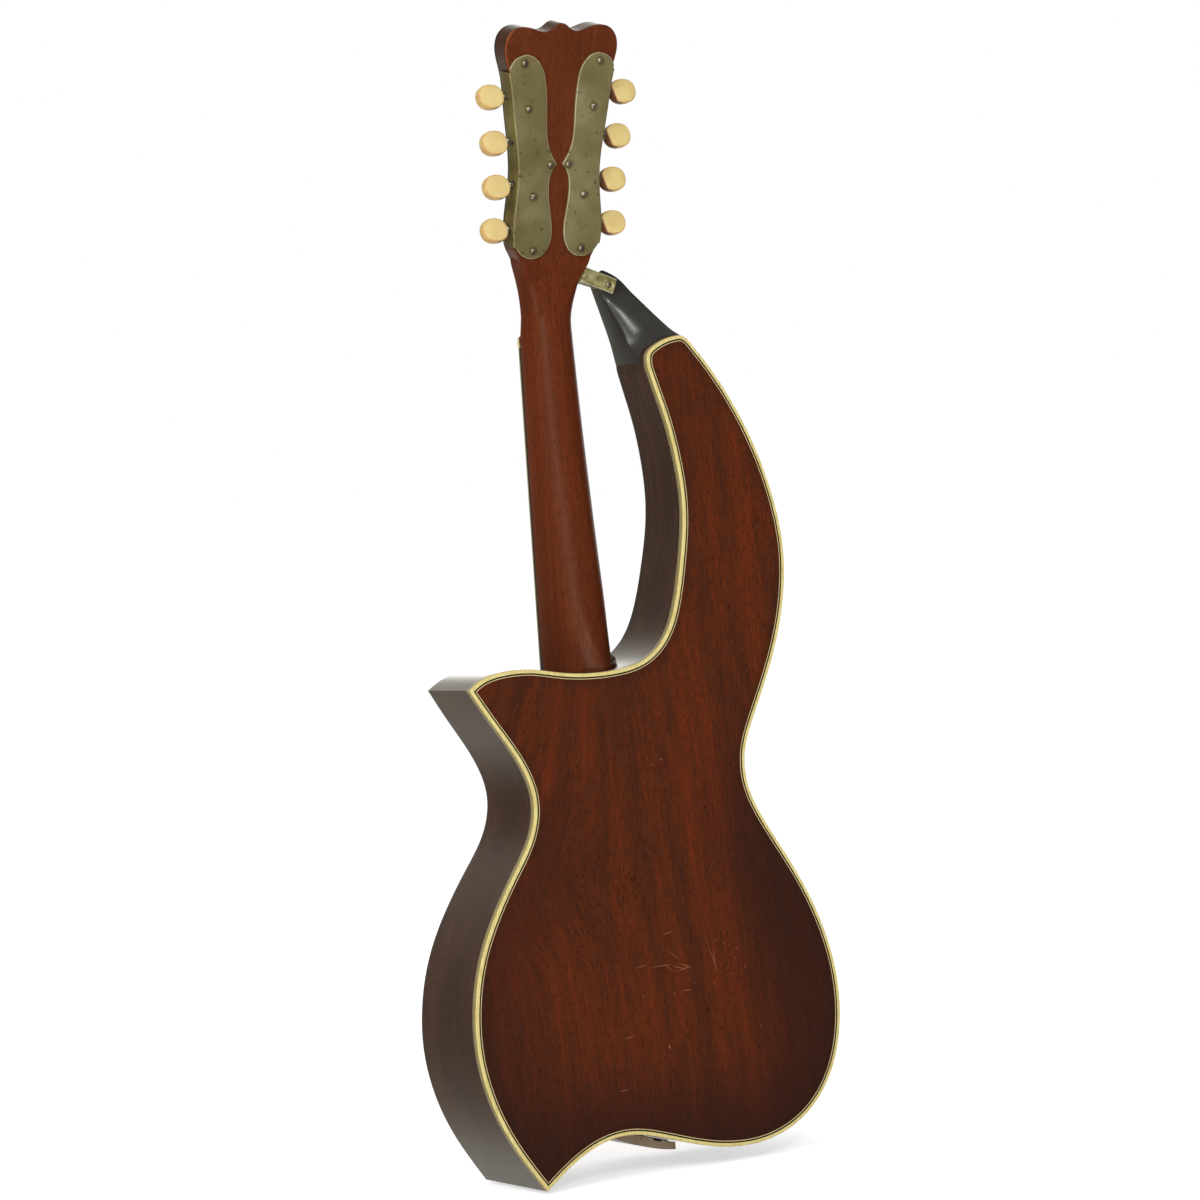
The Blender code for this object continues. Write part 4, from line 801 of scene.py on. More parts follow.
# Darker towards the heel
varnished = shader.inputs["Base Color"].links[0].from_socket
height = add(tree, "SeparateXYZ", {0: add(tree, "TexCoord").outputs["Object"]}).outputs["Z"]
deeper = add(tree, "MapRange", {"Value": height, "From Min": -0.08, "From Max": -0.16, "To Max": 0.26}).outputs[0]
varnished = add(tree, "Mix", {"Factor": deeper, "A": varnished, "B": linear("#3A1C10")}, data_type="RGBA").outputs["Result"]
tree.links.new(varnished, shader.inputs["Base Color"])
mesh = bmesh.new()
rings = [neck_section(station, neck_face(station[0])) for station in smooth_curve(NECK_STATIONS, 3.0)
         if station[0] < -1.0]
for z, front in ((-0.1, NECK_FACE), (-0.09, NUT_SEAT), (NUT_THICKNESS + 0.2, NUT_SEAT),
                 (NUT_THICKNESS + 0.25, head_face(NUT_THICKNESS, HEAD_WOOD) + 0.1)):
    rings.append(neck_section((z, 14.35, 14.65, 2.2), front))
rings += [neck_section(station, head_face(station[0], HEAD_WOOD) + 0.05)
          for station in smooth_curve(THROAT_STATIONS, 1.5) if station[0] > NUT_THICKNESS + 0.5]
ring_shell(mesh, rings, capped=True)
neck = finished_piece("neck_and_heel", mesh, neck_mahogany, NECK_BODY, ["neck"])
cut(neck, body_space)

head_loop = list(map(tuple, HEAD_EDGE)) + [(-u, v) for u, v in HEAD_EDGE[-2::-1]]
worn_mahogany = varnished_mahogany("mahogany_head_varnish", "#4D2210", "#5D2A13", "#6A3217", None, 0.28)
tree = worn_mahogany.node_tree
shader = tree.nodes["Principled BSDF"]
varnished = shader.inputs["Base Color"].links[0].from_socket
wear = add(tree, "Attribute", attribute_name="wear").outputs["Fac"]
patchy = add(tree, "TexNoise", {"Vector": add(tree, "TexCoord").outputs["Object"], "Scale": 400.0,
                                "Detail": 3.0}).outputs["Fac"]
worn_share = add(tree, "Math", {0: wear, 1: patchy, 2: -0.12}, operation="MULTIPLY_ADD").outputs[0]
worn_share = ramp(tree, worn_share, [(0.12, 0.0), (0.3, 1.0)])
tree.links.new(add(tree, "Mix", {"Factor": worn_share, "A": varnished, "B": linear("#93492A")},
                   data_type="RGBA").outputs["Result"], shader.inputs["Base Color"])
# Darker mahogany for the headstock's sides above the flange
side_mahogany = varnished_mahogany("mahogany_head_sides_darker", "#351C14", "#43261B", "#4F2E20", None, 0.26)
mesh = bmesh.new()
wear_layer = mesh.verts.layers.float.new("wear")
edge_wear = []
for u, v in head_loop:
    near_corner = max(0.0, 1.0 - math.hypot(u - 33.0, v - 160.0) / 20.0)
    near_top = 0.45 if v > 168.0 else 0.22
    edge_wear.append(max(min(1.0, 1.5 * near_corner), near_top))
rings = []
for inset_by, y in ((1.9, 0.0), (0.8, 0.0), (0.25, -0.25), (0.0, -0.8), (0.0, -2.0), (0.0, -HEAD_WOOD + 0.5),
                    (0.5, -HEAD_WOOD)):
    widths = np.array([inset_by * (1.0 + 0.4 * max(0.0, w - 0.45)) for w in edge_wear])
    rings.append([(u, y, v) for u, v in moved_in(head_loop, widths)])
rows = ring_shell(mesh, rings, capped=True)
for row in rows[2:4]:
    for vertex, amount in zip(row, edge_wear):
        vertex[wear_layer] = amount
for face in mesh.faces:
    is_side = max(vertex.co.y for vertex in face.verts) < -0.7 * MM
    above_flange = min(vertex.co.z for vertex in face.verts) > 140.0 * MM
    below_flange = max(vertex.co.z for vertex in face.verts) < 58.0 * MM
    face.material_index = 1 if is_side and above_flange else 2 if is_side and below_flange else 0
headstock = finished_piece("headstock", mesh, worn_mahogany, NECK_BODY, turn=HEAD_TURN)
headstock.data.materials.append(side_mahogany)
headstock.data.materials.append(neck_mahogany)

pockets = bmesh.new()
for side, _, height, offset, _, _ in tuner_stations():
    x = side * offset
    corners = [(x - 6.2, height - 4.2), (x + 6.2, height - 4.2), (x + 6.2, height + WORM_TO_GEAR + 5.8),
               (x - 6.2, height + WORM_TO_GEAR + 5.8)]
    ring_shell(pockets, [[(u, y, v) for u, v in corners] for y in (-7.2, 2.0)], capped=True)
gear_pockets = hidden_tool("gear_pocket_tool", pockets, HEAD_TURN)
post_holes = bmesh.new()
shaft_holes = bmesh.new()
for side, _, height, offset, _, _ in tuner_stations():
    turned(post_holes, ((-20.0, POST_RADIUS + 0.3), (-6.0, POST_RADIUS + 0.3)),
           (side * offset, 0.0, height + WORM_TO_GEAR), (0, 1, 0))
    turned(shaft_holes, ((offset + 3.0, 2.0), (45.0, 2.0)), (0.0, -SHAFT_DEPTH, height), (side, 0, 0), 16)
post_hole_tool = hidden_tool("post_hole_tool", post_holes, HEAD_TURN)
shaft_hole_tool = hidden_tool("shaft_hole_tool", shaft_holes, HEAD_TURN)
for tool in (gear_pockets, post_hole_tool, shaft_hole_tool):
    cut(headstock, tool)

stem = smooth_curve([(13.4, 2.9), (13.0, 12.0), (13.5, 21.0), (15.6, 32.0), (18.9, 40.0)], 2.0)
veneer_loop = list(map(tuple, stem)) + head_loop + [(-u, v) for u, v in stem[::-1]]
mesh = bmesh.new()
ring_shell(mesh, [[(u, y, v) for u, v in moved_in(veneer_loop, np.full(len(veneer_loop), inset_by))]
                  for inset_by, y in ((0.0, -11.72), (0.0, -12.9), (0.3, -13.2))], capped=True)
veneer = finished_piece("head_veneer", mesh, ebonised, NECK_BODY, ["headstock_veneer"],
                        turn=HEAD_TURN)
cut(veneer, post_hole_tool)

# Dark brown for the heel's seam and for the old glue above it; on the glue it is also painted shade above the foot's
# bulge
seam_glue_and_shade, _, shader = new_finish("glue_seam_and_painted_shade")
shader.inputs["Base Color"].default_value = linear("#2E1C13")
shader.inputs["Roughness"].default_value = 0.6
shoulder = outer_lines[0][(outer_lines[0][:, 1] < -160.0) & (np.abs(outer_lines[0][:, 0]) < 32.0)]


def along_shoulder(rise, half_width, depth, squareness, treble_reach=18.2):
    """A section of the heel that follows the body's outline at a height above it, lower to the treble."""
    section = []
    for x, y, _ in neck_section((0.0, half_width, depth, squareness), 0.0):
        across = x * treble_reach / half_width if x > 0.0 else x
        height = float(np.interp(across, shoulder[:, 0], shoulder[:, 1]))
        section.append((across, y, height + rise * (1.0 - 0.03 * max(0.0, across))))
    return section


mesh = bmesh.new()
ring_shell(mesh, [along_shoulder(*station) for station in FOOT_STATIONS], capped=True)
foot = finished_piece("heel_foot", mesh, neck_mahogany, NECK_BODY, smooth_angle=60.0)
cut(foot, body_space)
mesh = bmesh.new()
ring_shell(mesh, [along_shoulder(rise, 18.6, 35.7, 1.7) for rise in (2.0, 2.3)], capped=True)
seam = finished_piece("heel_seam", mesh, seam_glue_and_shade, NECK_BODY)
mesh = bmesh.new()
ring_shell(mesh, [along_shoulder(*station, treble_reach=14.0) for station in GLUE_AND_SHADE_STATIONS], capped=True)
finished_piece("heel_glue_and_shade", mesh, seam_glue_and_shade, NECK_BODY, smooth_angle=60.0)


# The fingerboard, frets and nut
# A thin ebony board with an ivoroid strip along each front edge, nickel frets hammered into it,
# pearl-white position dots, and a nut cut from bone.
NUT_HALF_WIDTH = 14.3
BOARD_WIDENING = 0.021
BOARD_FACE = -5.3
BOARD_END = -225.0
SCALE_LENGTH = 352.4
FRET_COUNT = 17
BOARD_BINDING = 1.1

ebony, tree, shader = new_finish("ebony_oiled")
place = add(tree, "TexCoord").outputs["Object"]
grain_at = add(tree, "Mapping", {"Vector": place, "Scale": (1200.0, 1200.0, 60.0)}).outputs[0]
grain = add(tree, "TexNoise", {"Vector": grain_at, "Scale": 1.0, "Detail": 3.0}).outputs["Fac"]
tree.links.new(ramp(tree, grain, [(0.35, "#14110F"), (0.75, "#26201D")]), shader.inputs["Base Color"])
shader.inputs["Roughness"].default_value = 0.42

bone, tree, shader = new_finish("bone_polished")
place = add(tree, "TexCoord").outputs["Object"]
grain_at = add(tree, "Mapping", {"Vector": place, "Scale": (300.0, 1500.0, 1500.0)}).outputs[0]
grain = add(tree, "TexNoise", {"Vector": grain_at, "Scale": 1.0, "Detail": 3.0}).outputs["Fac"]
tree.links.new(ramp(tree, grain, [(0.3, "#D8C58F"), (0.6, "#E8DAB0")]), shader.inputs["Base Color"])
shader.inputs["Roughness"].default_value = 0.35
shader.inputs["Subsurface Weight"].default_value = 0.15
shader.inputs["Subsurface Scale"].default_value = 0.001

fret_wire, _, shader = new_finish("nickel_fret_wire_polished")
shader.inputs["Base Color"].default_value = linear("#B9B4A4")
shader.inputs["Metallic"].default_value = 1.0
shader.inputs["Roughness"].default_value = 0.25


def board_half_width(z):
    """Half the fingerboard's width at a height."""
    return NUT_HALF_WIDTH - BOARD_WIDENING * z


mesh = bmesh.new()
rings = []
for z in (-0.2, -60.0, -120.0, -168.0, -172.0, -180.0, BOARD_END):
    half = board_half_width(z)
    inner = half - BOARD_BINDING
    under = neck_face(z) - 0.02
    rings.append([(-half, under, z), (half, under, z), (half, BOARD_FACE + 1.4, z), (inner, BOARD_FACE + 1.4, z),
                  (inner, BOARD_FACE, z), (-inner, BOARD_FACE, z), (-inner, BOARD_FACE + 1.4, z),
                  (-half, BOARD_FACE + 1.4, z)])
ring_shell(mesh, rings, capped=True)
finished_piece("fingerboard_ebony", mesh, ebony, NECK_BODY, ["fingerboard"])
for label, side in (("treble", 1), ("bass", -1)):
    mesh = bmesh.new()
    rings = []
    for z in (-0.2, -60.0, -120.0, -180.0, BOARD_END):
        half = board_half_width(z)
        corners = rounded([(half - BOARD_BINDING, BOARD_FACE + 1.4, 0.0), (half, BOARD_FACE + 1.4, 0.0),
                           (half, BOARD_FACE, 0.5), (half - BOARD_BINDING, BOARD_FACE, 0.0)])
        rings.append([(side * x, y, z) for x, y in corners])
    ring_shell(mesh, rings, capped=True)
    finished_piece(f"fingerboard_binding_{label}", mesh, ivoroid, NECK_BODY)

mesh = bmesh.new()
for number in range(1, FRET_COUNT + 1):
    z = -SCALE_LENGTH * (1.0 - 2.0 ** (-number / 12.0))
    reach = board_half_width(z) - BOARD_BINDING
    rings = []
    for share, height in ((-1.0, 0.1), (-0.97, 0.6), (-0.9, 0.9), (0.9, 0.9), (0.97, 0.6), (1.0, 0.1)):
        rings.append([(reach * share, BOARD_FACE + 0.1 - (height + 0.1) * math.sin(a), z - 0.55 * math.cos(a))
                      for a in np.linspace(0.0, math.pi, 9)])
    ring_shell(mesh, rings, capped=True)
finished_piece("frets", mesh, fret_wire, NECK_BODY)

mesh = bmesh.new()
for number, places in ((5, (0.0,)), (7, (0.0,)), (10, (0.0,)), (12, (-5.0, 5.0)), (15, (0.0,))):
    z = -SCALE_LENGTH * (1.0 - (2.0 ** (-number / 12.0) + 2.0 ** (-(number - 1) / 12.0)) / 2.0)
    for x in places:
        turned(mesh, ((0.0, 2.4), (0.33, 2.4), (0.34, 2.3)), (x, BOARD_FACE + 0.32, z), (0, -1, 0))
finished_piece("position_dots", mesh, bone, NECK_BODY)

mesh = bmesh.new()
profile = rounded([(0.0, NUT_SEAT - 0.02, 0.0), (NUT_THICKNESS, NUT_SEAT - 0.02, 0.0), (NUT_THICKNESS, -5.9, 1.2),
                   (0.0, -6.3, 0.5)])
rings = []
for x, shrink in ((-NUT_HALF_WIDTH, 0.35), (-NUT_HALF_WIDTH + 0.4, 0.0), (NUT_HALF_WIDTH - 0.4, 0.0),
                  (NUT_HALF_WIDTH, 0.35)):
    rings.append([(x, min(y + shrink, NUT_SEAT - 0.02), z) for z, y in profile])
ring_shell(mesh, rings, capped=True)
finished_piece("nut_bone", mesh, bone, NECK_BODY, ["nut"])


# The tuner cover plates
# Two dog-bone covers stamped from 1 mm nickel silver and bent over the headstock's sides, each held
# by five round-head steel screws. The metal has gone olive; the dark rings round the shafts are painted shadow.
COVER_INNER_UPPER = [
    (22.3, 157.4), (18.0, 156.4), (14.2, 153.2), (11.4, 148.6), (9.9, 142.6), (9.0, 135.0), (8.5, 125.0),
    (8.1, 115.0), (6.8, 107.5), (4.3, 101.9), (1.8, 98.1),
]
COVER_INNER_LOWER = [
    (1.8, 98.1), (4.0, 95.3), (5.8, 90.8), (6.3, 85.0), (5.8, 78.0), (4.6, 70.5), (3.7, 62.8), (4.1, 57.8),
    (6.1, 52.5), (9.8, 48.7), (14.8, 47.3), (19.6, 48.2), (23.4, 51.0),
]
COVER_SHOULDER = [(31.8, 150.4), (29.0, 154.6), (22.3, 157.4)]
COVER_SCREWS = ((23.0, 152.8, 20.0), (19.8, 128.2, 75.0), (5.5, 97.7, 50.0), (15.4, 80.9, 110.0), (14.8, 51.7, 35.0))
COVER_FACE = 1.3
COVER_UNDERSIDE = 0.1
FLANGE_DEPTH = 9.5
BEND = 1.3


def aged_metal(name, base, pale, dark, roughness, metallic, clouds=55.0):
    """Old metal: soft cloudy tone, with 0.5 mm dark specks where it has corroded."""
    finish, tree, shader = new_finish(name)
    place = add(tree, "TexCoord").outputs["Object"]
    cloud = add(tree, "TexNoise", {"Vector": place, "Scale": clouds, "Detail": 3.0}).outputs["Fac"]
    colour = ramp(tree, cloud, [(0.3, dark), (0.52, base), (0.75, pale)])
    specks = add(tree, "TexNoise", {"Vector": place, "Scale": 420.0, "Detail": 2.0}).outputs["Fac"]
    speck_share = ramp(tree, specks, [(0.66, 0.0), (0.72, 0.7)])
    colour = add(tree, "Mix", {"Factor": speck_share, "A": colour, "B": linear("#35301C")},
                 data_type="RGBA").outputs["Result"]
    tree.links.new(colour, shader.inputs["Base Color"])
    brushed = add(tree, "TexNoise", {"Vector": place, "Scale": 200.0, "Detail": 4.0}).outputs["Fac"]
    tree.links.new(ramp(tree, brushed, [(0.3, roughness - 0.06), (0.7, roughness + 0.08)]),
                   shader.inputs["Roughness"])
    shader.inputs["Metallic"].default_value = metallic
    return finish


def slotted_head(mesh, centre, radius, height, turn):
    """A round screw head with a slot, standing along Y."""
    centre = Vector(centre)
    slot_side = Vector((math.cos(math.radians(turn)), 0.0, math.sin(math.radians(turn))))
    dome = ((-0.3, radius), (0.15 * height, radius), (0.5 * height, radius * 0.9), (0.78 * height, radius * 0.68),
            (0.94 * height, radius * 0.4), (height, radius * 0.12))
    for side in (1.0, -1.0):
        rows = turned(mesh, dome, centre, (0, 1, 0))
        corners = {vertex for row in rows for vertex in row}
        faces = {face for vertex in corners for face in vertex.link_faces}
        edges = {edge for vertex in corners for edge in vertex.link_edges}
        plane = (centre + slot_side * side * radius * 0.11) * MM
        halved = bmesh.ops.bisect_plane(mesh, geom=[*corners, *edges, *faces], plane_co=plane,
                                        plane_no=slot_side * side, clear_inner=True)
        rim = [part for part in halved["geom_cut"] if isinstance(part, bmesh.types.BMEdge)]
        bmesh.ops.edgeloop_fill(mesh, edges=rim)
    turned(mesh, ((-0.3, radius * 0.96), (height * 0.45, radius * 0.9)), centre, (0, 1, 0))


nickel = aged_metal("nickel_silver_tarnished", "#867B51", "#958C65", "#786C42", 0.4, 0.35)
# Pale colour for the bevelled edges of the covers and the strap: a painted highlight
nickel_edge_highlight = aged_metal("nickel_silver_edge_painted_highlight", "#C2BA96", "#D0C9AB", "#B2A982", 0.35, 0.35)
nickel_side = aged_metal("nickel_silver_yellowed", "#75672F", "#82753D", "#544720", 0.42, 0.3)
nickel_stain = aged_metal("nickel_silver_stained", "#746837", "#7F7342", "#675A2C", 0.42, 0.35)
# Near black for the shaft holes and the cover's slot: painted shadow
hole_shadow = aged_metal("nickel_silver_painted_hole_shadow", "#2E2A1C", "#3A3524", "#221F14", 0.6, 0.2)
screw_steel = aged_metal("steel_screw_darkened", "#AFA48D", "#C6BBA4", "#6A5D48", 0.35, 0.85)
for side, label in ((1, "treble"), (-1, "bass")):
    beside = [(u + 0.3, v) for u, v in HEAD_EDGE if 53.0 < v < 149.0]
    loop = [tuple(p) for p in smooth_curve(COVER_INNER_UPPER, 1.2)[:-1]]
    loop += [tuple(p) for p in smooth_curve(COVER_INNER_LOWER, 1.2)]
    first_beside = len(loop)
    loop += [(u + 1.0 - BEND, v) for u, v in beside]
    last_beside = len(loop)
    loop += [tuple(p) for p in smooth_curve(COVER_SHOULDER, 1.2)[:-1]]
    easing = np.full(len(loop), 0.4)
    easing[first_beside:last_beside] = 0.0
    mesh = bmesh.new()
    rings = [[(side * u, COVER_FACE, v) for u, v in moved_in(loop, easing)],
             [(side * u, COVER_FACE - 0.3 * e, v) for (u, v), e in zip(moved_in(loop, easing * 0.3), easing)],
             [(side * u, COVER_FACE - 0.9 * e - 0.001, v) for (u, v), e in zip(loop, easing)],
             [(side * u, COVER_UNDERSIDE, v) for u, v in loop]]
    rows = ring_shell(mesh, rings, capped=True)
    # The bevel faces get the painted highlight
    for first, second in zip(rows[:2], rows[1:3]):
        for vertex in first:
            for face in vertex.link_faces:
                face.material_index = 1 if any(v in second for v in face.verts) else face.material_index
    bend = [(BEND * math.sin(a) - BEND + 1.0, BEND * math.cos(a) - BEND + COVER_FACE)
            for a in np.linspace(0.0, math.pi / 2, 7)]
    bend += [(1.0, -FLANGE_DEPTH + 0.2), (0.8, -FLANGE_DEPTH), (0.0, -FLANGE_DEPTH), (0.0, COVER_UNDERSIDE),
             (1.0 - BEND, COVER_UNDERSIDE)]
    rows = ring_shell(mesh, [[(side * (u + across), y, v) for across, y in bend] for u, v in beside], capped=True)
    for row in rows:
        for vertex in row[5:10]:
            for face in vertex.link_faces:
                face.material_index = 2
    cover = finished_piece(f"tuner_cover_{label}", mesh, nickel, NECK_BODY,
                           [f"tuner_plate_{label}"], turn=HEAD_TURN)
    cover.data.materials.append(nickel_edge_highlight)
    cover.data.materials.append(nickel_side)
    # Dark rings on the flange round each shaft: painted shadow of the shaft holes
    mesh = bmesh.new()
    for its_side, _, height, _, _, _ in tuner_stations():
        if its_side == side:
            near = float(np.interp(height, HEAD_EDGE[:70, 1], HEAD_EDGE[:70, 0])) + 1.28
            turned(mesh, ((near, 2.3), (near + 0.06, 2.25)), (0.0, -SHAFT_DEPTH, height), (side, 0, 0), 20)
    finished_piece(f"flange_hole_shadows_{label}", mesh, hole_shadow, NECK_BODY, turn=HEAD_TURN)
    mesh = bmesh.new()
    for u, v, _ in COVER_SCREWS:
        turned(mesh, ((-0.1, 2.7), (0.03, 2.65)), (side * u, COVER_FACE, v), (0, 1, 0))
    finished_piece(f"screw_stains_{label}", mesh, nickel_stain, NECK_BODY, turn=HEAD_TURN)
    mesh = bmesh.new()
    for u, v, slot_turn in COVER_SCREWS:
        slotted_head(mesh, (side * u, COVER_FACE, v), 1.9, 1.35, slot_turn * side)
    finished_piece(f"cover_screws_{label}", mesh, screw_steel, NECK_BODY, turn=HEAD_TURN)


# The tuning keys and string posts
# Steel worm shafts with collars, thick oval buttons of cream celluloid pressed on their ends, and
# brass gears screwed to the posts. The buttons have yellowed, most of all at their rims.
BUTTON_HALF_LENGTH = 7.6
BUTTON_HALF_WIDTH = 6.65
BUTTON_HALF_THICKNESS = 2.6
BUTTON_FLAT = -5.4
BUTTON_FLAT_SLOPE = -0.3
BUTTON_BEVEL = 3.4
BUTTON_PROFILE = ((0.0, 1.04, 0), (0.55, 1.03, 0), (0.9, 0.99, 0), (0.955, 0.93, 1), (0.985, 0.8, 2), (1.0, 0.45, 2),
                  (1.0, -0.45, 2), (0.985, -0.8, 2), (0.955, -0.93, 1), (0.9, -0.99, 0), (0.55, -1.03, 0),
                  (0.0, -1.04, 0))
POST_REACH = 8.5
POST_FRONT = SHAFT_DEPTH - HEAD_WOOD - 0.3 - 1.2 - POST_REACH
POST_PROFILE = ((POST_FRONT, 1.9), (POST_FRONT + 0.35, 2.6), (POST_FRONT + 0.9, 2.85), (POST_FRONT + 1.3, 2.5),
                (POST_FRONT + 1.7, 2.4), (POST_FRONT + 4.2, 2.4), (POST_FRONT + 5.0, 2.7), (POST_FRONT + 5.8, POST_RADIUS),
                (-0.9, POST_RADIUS))

steel, _, shader = new_finish("steel_drawn_bright")
shader.inputs["Base Color"].default_value = linear("#9B978B")
shader.inputs["Metallic"].default_value = 0.9
shader.inputs["Roughness"].default_value = 0.28
brass = aged_metal("brass_turned", "#A28446", "#B5985A", "#86693A", 0.34, 1.0)


def celluloid(name, colour, cloudy):
    """Cast celluloid: faintly clouded, lit a little from within, softly polished."""
    finish, tree, shader = new_finish(name)
    place = add(tree, "TexCoord").outputs["Object"]
    cloud = add(tree, "TexNoise", {"Vector": place, "Scale": 160.0, "Detail": 3.0}).outputs["Fac"]
    tree.links.new(ramp(tree, cloud, [(0.3, cloudy), (0.65, colour)]), shader.inputs["Base Color"])
    shader.inputs["Roughness"].default_value = 0.38
    shader.inputs["Subsurface Weight"].default_value = 0.2
    shader.inputs["Subsurface Radius"].default_value = (1.0, 0.6, 0.3)
    shader.inputs["Subsurface Scale"].default_value = 0.0015
    return finish


# The bass buttons' cream is a little darker: painted shade, as they get less light
button_faces = {1: celluloid("celluloid_cream", "#DCC587", "#D4BA7A"),
                -1: celluloid("celluloid_cream_bass_painted_shade", "#D8C281", "#CFB574")}
button_line = celluloid("celluloid_yellowed_edge", "#D2AC6C", "#C59858")
button_rim = celluloid("celluloid_yellowed_rim", "#D8B776", "#C79F60")
# Dark brown for the rims towards the shaft: grime, and painted shade from the headstock
button_grime_and_shade = celluloid("celluloid_grime_and_painted_shade", "#6E4627", "#573519")
for side, label, height, offset, centre, (turn, droop) in tuner_stations():
    lean = math.radians(turn)
    mesh = bmesh.new()
    rings = []
    for size, rise, _ in BUTTON_PROFILE:
        depth = rise * BUTTON_HALF_THICKNESS
        ring = []
        for a in np.linspace(0.0, 2.0 * math.pi, 48, endpoint=False):
            # The oval is slightly squared
            fullness = (abs(math.cos(a)) ** 2.3 + abs(math.sin(a)) ** 2.3) ** (-1.0 / 2.3) * max(size, 0.02)
            along = BUTTON_HALF_LENGTH * fullness * math.cos(a)
            across = BUTTON_HALF_WIDTH * fullness * math.sin(a)
            if side < 0:
                flat_edge = BUTTON_FLAT + BUTTON_FLAT_SLOPE * across
                along = side * max(side * along, flat_edge - BUTTON_BEVEL * max(0.0, 1.0 - rise))
            ring.append((side * centre + along, -SHAFT_DEPTH + depth * math.cos(lean) - across * math.sin(lean),
                         height - droop + depth * math.sin(lean) + across * math.cos(lean)))
        rings.append(ring)
    rows = ring_shell(mesh, rings, capped=True)
    for row, (_, _, which) in zip(rows, BUTTON_PROFILE):
        for vertex in row:
            for face in vertex.link_faces:
                face.material_index = max(face.material_index, 1 if which == 1 else 0)
    for first, second in zip(rows[4:7], rows[5:8]):
        for vertex in first:
            for face in vertex.link_faces:
                if any(v in second for v in face.verts):
                    towards_shaft = (side * centre - face.calc_center_median().x / MM) * side
                    face.material_index = 3 if towards_shaft > 1.0 else 2
    button = finished_piece(f"key_button_{label}", mesh, button_faces[side], f"key_{label}",
                            [f"button_{label}"], smooth_angle=60.0, turn=HEAD_TURN)
    button.data.materials.append(button_line)
    button.data.materials.append(button_rim)
    button.data.materials.append(button_grime_and_shade)

    refinish(f"worm_shaft_{label}", steel)
    edge_u = float(np.interp(height, HEAD_EDGE[:70, 1], HEAD_EDGE[:70, 0]))
    mesh = bmesh.new()
    flange = edge_u + 1.35
    near_button = centre - BUTTON_HALF_LENGTH + 0.3
    turned(mesh, ((flange, 1.55), (near_button - 2.2, 1.55), (near_button - 2.0, 2.0), (near_button - 0.4, 2.3),
                  (near_button, 2.0)), (0.0, -SHAFT_DEPTH, height), (side, 0, 0))
    finished_piece(f"shaft_sleeve_{label}", mesh, steel, f"key_{label}", turn=HEAD_TURN)

    mesh = bmesh.new()
    gear = []
    for tooth in range(14):
        middle = 2.0 * math.pi * (tooth + 0.5) / 14 - math.pi / 2
        for radius, across in ((3.8, -0.48), (4.6, -0.34), (4.9, -0.18), (4.9, 0.18), (4.6, 0.34), (3.8, 0.48)):
            angle = middle + across / radius
            gear.append((side * offset + radius * math.cos(angle), height + WORM_TO_GEAR + radius * math.sin(angle)))
    ring_shell(mesh, [[(x, y - SHAFT_DEPTH, z) for x, z in gear] for y in (-1.0, 1.0)], capped=True)
    turned(mesh, POST_PROFILE, (side * offset, -SHAFT_DEPTH, height + WORM_TO_GEAR), (0, 1, 0))
    finished_piece(f"post_and_gear_{label}", mesh, brass, f"post_{label}", [f"string_post_{label}"],
                   turn=HEAD_TURN)
    mesh = bmesh.new()
    ring = ((-13.2, 3.35), (-13.2, 4.6), (-13.6, 4.6), (-14.0, 4.1), (-14.0, 3.35))
    rings = [[(side * offset + radius * math.cos(a), y, height + WORM_TO_GEAR + radius * math.sin(a))
              for a in np.linspace(0.0, 2.0 * math.pi, 32, endpoint=False)] for y, radius in ring]
    ring_shell(mesh, rings, closed_across=True)
    finished_piece(f"post_ferrule_{label}", mesh, nickel, NECK_BODY, turn=HEAD_TURN)


# The strap
# A strip of nickel silver, bent at its end and screwed to the harp arm's tip with one countersunk
# screw. It ties the arm to the foot of the headstock.
STRAP_TURN = Matrix.Translation(Vector((-29.0, 12.0, 32.5)) * MM) @ Matrix.Rotation(math.radians(-22.5), 4, "Y")
STRAP_HALF = 10.9
STRAP_HALF_WIDTH = 4.3
STRAP_LEG = 8.5
STRAP_SCREW = -7.4

strap_metal = aged_metal("nickel_silver_strap", "#A79D68", "#C6BE90", "#7A713F", 0.36, 0.35, 260.0)
mesh = bmesh.new()
profile = rounded([(-STRAP_HALF, 0.5, 0.25), (STRAP_HALF, 0.5, 4.2), (STRAP_HALF, 0.5 - STRAP_LEG, 0.25),
                   (STRAP_HALF - 1.0, 0.5 - STRAP_LEG, 0.25), (STRAP_HALF - 1.0, -0.5, 3.2), (-STRAP_HALF, -0.5, 0.25)])
rings = []
for z, inset_by in ((-STRAP_HALF_WIDTH, 0.35), (-STRAP_HALF_WIDTH + 0.2, 0.12), (-STRAP_HALF_WIDTH + 0.6, 0.0),
                    (STRAP_HALF_WIDTH - 0.6, 0.0), (STRAP_HALF_WIDTH - 0.2, 0.12), (STRAP_HALF_WIDTH, 0.35)):
    rings.append([(x, y, z) for x, y in moved_in(profile[::-1], np.full(len(profile), inset_by))])
rows = ring_shell(mesh, rings, capped=True)
